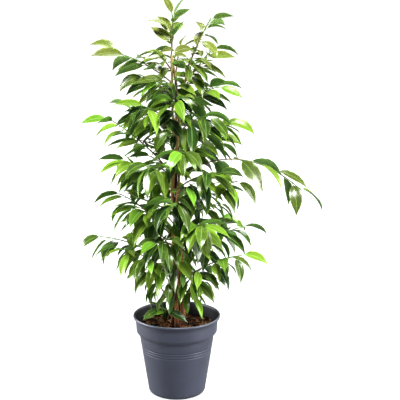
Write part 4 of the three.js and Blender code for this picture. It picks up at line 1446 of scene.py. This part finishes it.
# Chips are short bars that lie nearly level: rings of points along a line, each point moved in or
# out and along by seeded draws
def addChips(material):
    look = chips
    rng = np.random.default_rng(7351)
    one = (look["count"], 1, 1)
    radius = look["within"] * np.sqrt(rng.uniform(0, 1, one))
    angle = rng.uniform(0, 2 * np.pi, one)
    x, y = radius * np.cos(angle), radius * np.sin(angle)
    short, long = look["length"]
    length = rng.uniform(0, 1, one) ** look["skew"] * (long - short) + short
    width, thick = (rng.uniform(*look[key], one) for key in ("width", "thick"))
    room, over = look["room"]
    length = np.minimum(length, 2 * (room - radius) + over)
    level = levelWay(rng.uniform(0, 2 * np.pi, one))
    pitch, tilt = (rng.normal(0, look[key], one)[..., None] for key in ("pitch", "tilt"))
    ahead = level * np.cos(pitch) + up * np.sin(pitch)
    flat = np.cross(up, level)
    side = flat * np.cos(tilt) + np.cross(ahead, flat) * np.sin(tilt)
    lift = rng.uniform(*look["lift"], one) + np.abs(ahead[..., 2]) * length * look["pitchLift"]
    centre = np.stack([x, y, soilHeight(x, y) + lift], -1)
    place, fat = np.array(look["rings"]).T[..., None]
    around = 2 * np.pi * (np.arange(look["sides"]) + 0.5) / look["sides"]
    each = (look["count"], len(place), look["sides"])
    rough = fat * rng.uniform(*look["rough"], each) / 2
    slide = rng.uniform(-look["slide"], look["slide"], each)
    grid = centre + ahead * (length * (place + slide))[..., None]
    grid = grid + side * (width * rough * np.cos(around))[..., None]
    grid = grid + np.cross(ahead, side) * (thick * rough * np.sin(around))[..., None]
    inside = np.minimum(1, look["wall"] / np.hypot(grid[..., 0], grid[..., 1]))
    grid[..., :2] *= inside[..., None]
    shells = [
        tubeShell(rings[0].mean(0), rings, rings[-1].mean(0), 0, {"tone": (tone, tone)})
        for rings, tone in zip(grid, rng.uniform(0, 1, len(grid)))
    ]
    return makePiece("bark_chips", shells, [material], "soil", (), 25)


# Fibres are thin tubes on a curve: each point lies its place along the length from the middle, in
# a heading that turns with that place
def addFibres(material):
    look = fibres
    rng = np.random.default_rng(1187)
    one = (look["count"], 1)
    radius = look["within"] * np.sqrt(rng.uniform(0, 1, one))
    angle, heading = rng.uniform(0, 2 * np.pi, (2, *one))
    s = np.linspace(-0.5, 0.5, look["points"])
    way = heading + rng.normal(0, look["bend"], one) * s
    along = rng.uniform(*look["length"], one) * s
    x = radius * np.cos(angle) + along * np.cos(way)
    y = radius * np.sin(angle) + along * np.sin(way)
    shrink = np.minimum(1, look["wall"] / np.hypot(x, y))
    x, y = x * shrink, y * shrink
    z = soilHeight(x, y) + rng.uniform(*look["lift"], one) + rng.normal(0, look["uneven"], x.shape)
    paths = np.stack([x, y, z], -1)
    ahead = np.gradient(paths, axis=1)
    side = unit(np.cross(up, ahead))
    radii = np.full(x.shape, look["radius"])[..., None]
    rings = ringsRound(paths, side, unit(np.cross(ahead, side)), radii, look["sides"])
    values = {"tone": (look["tone"], look["tone"])}
    shells = [tubeShell(path[0], ring, path[-1], 0, values) for path, ring in zip(paths, rings)]
    return makePiece("coir_fibres", shells, [material], "soil")


def soilStops(key):
    colours = (soilFinish[name] for name in ("dark", "brown", "red", "tan", "grey"))
    return list(zip(soilFinish[key], colours))


def soilMaterial():
    material, place = newMaterial("soil_crumb", {"Specular IOR Level": 0.15})
    crumb, patch = (place.noise(*soilFinish[key]) for key in ("crumbs", "patches"))
    colour = (crumb * 0.8 + patch * 0.3).ramp(soilStops("crumbStops"))
    return dress(material, colour, 0.85 + crumb * 0.1, crumb.bumps(*soilFinish["crumbRelief"]))


def chipMaterial(name, tint=None):
    material, place = newMaterial(name, {"Specular IOR Level": 0.2})
    grain, mottle = (place.noise(*soilFinish[key]) for key in ("grain", "mottle"))
    mixed = place.held("tone") * 0.95 + (grain - 0.5) * 0.5 + (mottle - 0.5) * 0.3
    colour = mixed.ramp(soilStops("chipStops"))
    if tint:
        colour = colour.towards(tint, grain)
    return dress(material, colour, 0.7 + grain * 0.2, grain.bumps(*soilFinish["chipRelief"]))


addSoil(soilMaterial())
addChips(chipMaterial("chip_bark"))
addFibres(chipMaterial("coir", soilFinish["fibre"]))
print("soil made")

# Floor and studio light
studio = {
    "floor": (0.28, 0.28, 0.28),
    "floorGlow": 1.1,  # of the floor far off, for the camera alone
    "glowFrom": (0.5, 3.2),
    "nearGlow": 0.72,  # share of that glow beside the pot
    "floorRadius": 14.0,
    "gamma": 0.82,  # of the view: under 1 deepens the shadows
    "lampTarget": (0.03, 0, 0.5),
    "sky": 0.03,  # as a light
    "backdrop": 1.0,  # as seen by the camera
    "lamps": (
        # name, place, size, watts
        ("key", (0.7, -2.9, 5.1), 1.6, 785),
        ("fill", (2.2, -0.9, 0.3), 1.2, 116),
        ("left_wall", (-2.2, 0.2, 0.5), 1.6, 165),
        ("right_wall", (2.3, 0.9, 0.9), 1.8, 55),
        ("rim", (0.3, 3.0, 4.2), 3.0, 110),
    ),
}


def addFloor():
    ring = studio["floorRadius"] * levelWay(anglesRound(64))
    mesh = bpy.data.meshes.new("floor")
    mesh.from_pydata(ring.tolist(), [], [list(range(len(ring)))])
    constants = {"Specular IOR Level": 0.1, "Emission Strength": studio["floorGlow"]}
    material, place = newMaterial("floor_paper", constants)
    off = place.node("VectorMath", {"operation": "LENGTH"}, {0: place}, "Value")
    seen = place.node("LightPath", output="Is Camera Ray")
    far = off.ease(*studio["glowFrom"]) * (1 - studio["nearGlow"]) + studio["nearGlow"]
    glow = (far * seen).ramp([(0, (0, 0, 0)), (1, (1, 1, 1))])
    paler = tuple(c * 1.02 for c in studio["floor"])
    colour = place.noise(3).ramp([(0, studio["floor"]), (1, paler)])
    rough = 0.9 + place.noise(40) * 0.05
    dress(material, colour, rough, more={"Emission Color": glow})
    mesh.materials.append(material)
    addObject("floor", mesh)


def addLamp(name, place, size, watts):
    data = bpy.data.lights.new(name, "AREA")
    data.energy = watts
    data.size = size
    data.shape = "DISK"
    lamp = addObject(name, data)
    lamp.location = place
    way = Vector(studio["lampTarget"]) - Vector(place)
    lamp.rotation_euler = way.to_track_quat("-Z", "Y").to_euler()


def addSky():
    world = bpy.data.worlds.new("studio")
    world.use_nodes = True
    background = world.node_tree.nodes["Background"]
    background.inputs["Color"].default_value = (1, 1, 1, 1)
    seen = Wire(world.node_tree).node("LightPath", output="Is Camera Ray")
    strength = seen * (studio["backdrop"] - studio["sky"]) + studio["sky"]
    world.node_tree.links.new(strength.socket, background.inputs["Strength"])
    scene.world = world
    scene.view_settings.view_transform = "Standard"
    scene.view_settings.gamma = studio["gamma"]


addFloor()
for lamp in studio["lamps"]:
    addLamp(*lamp)
addSky()
print("studio made")
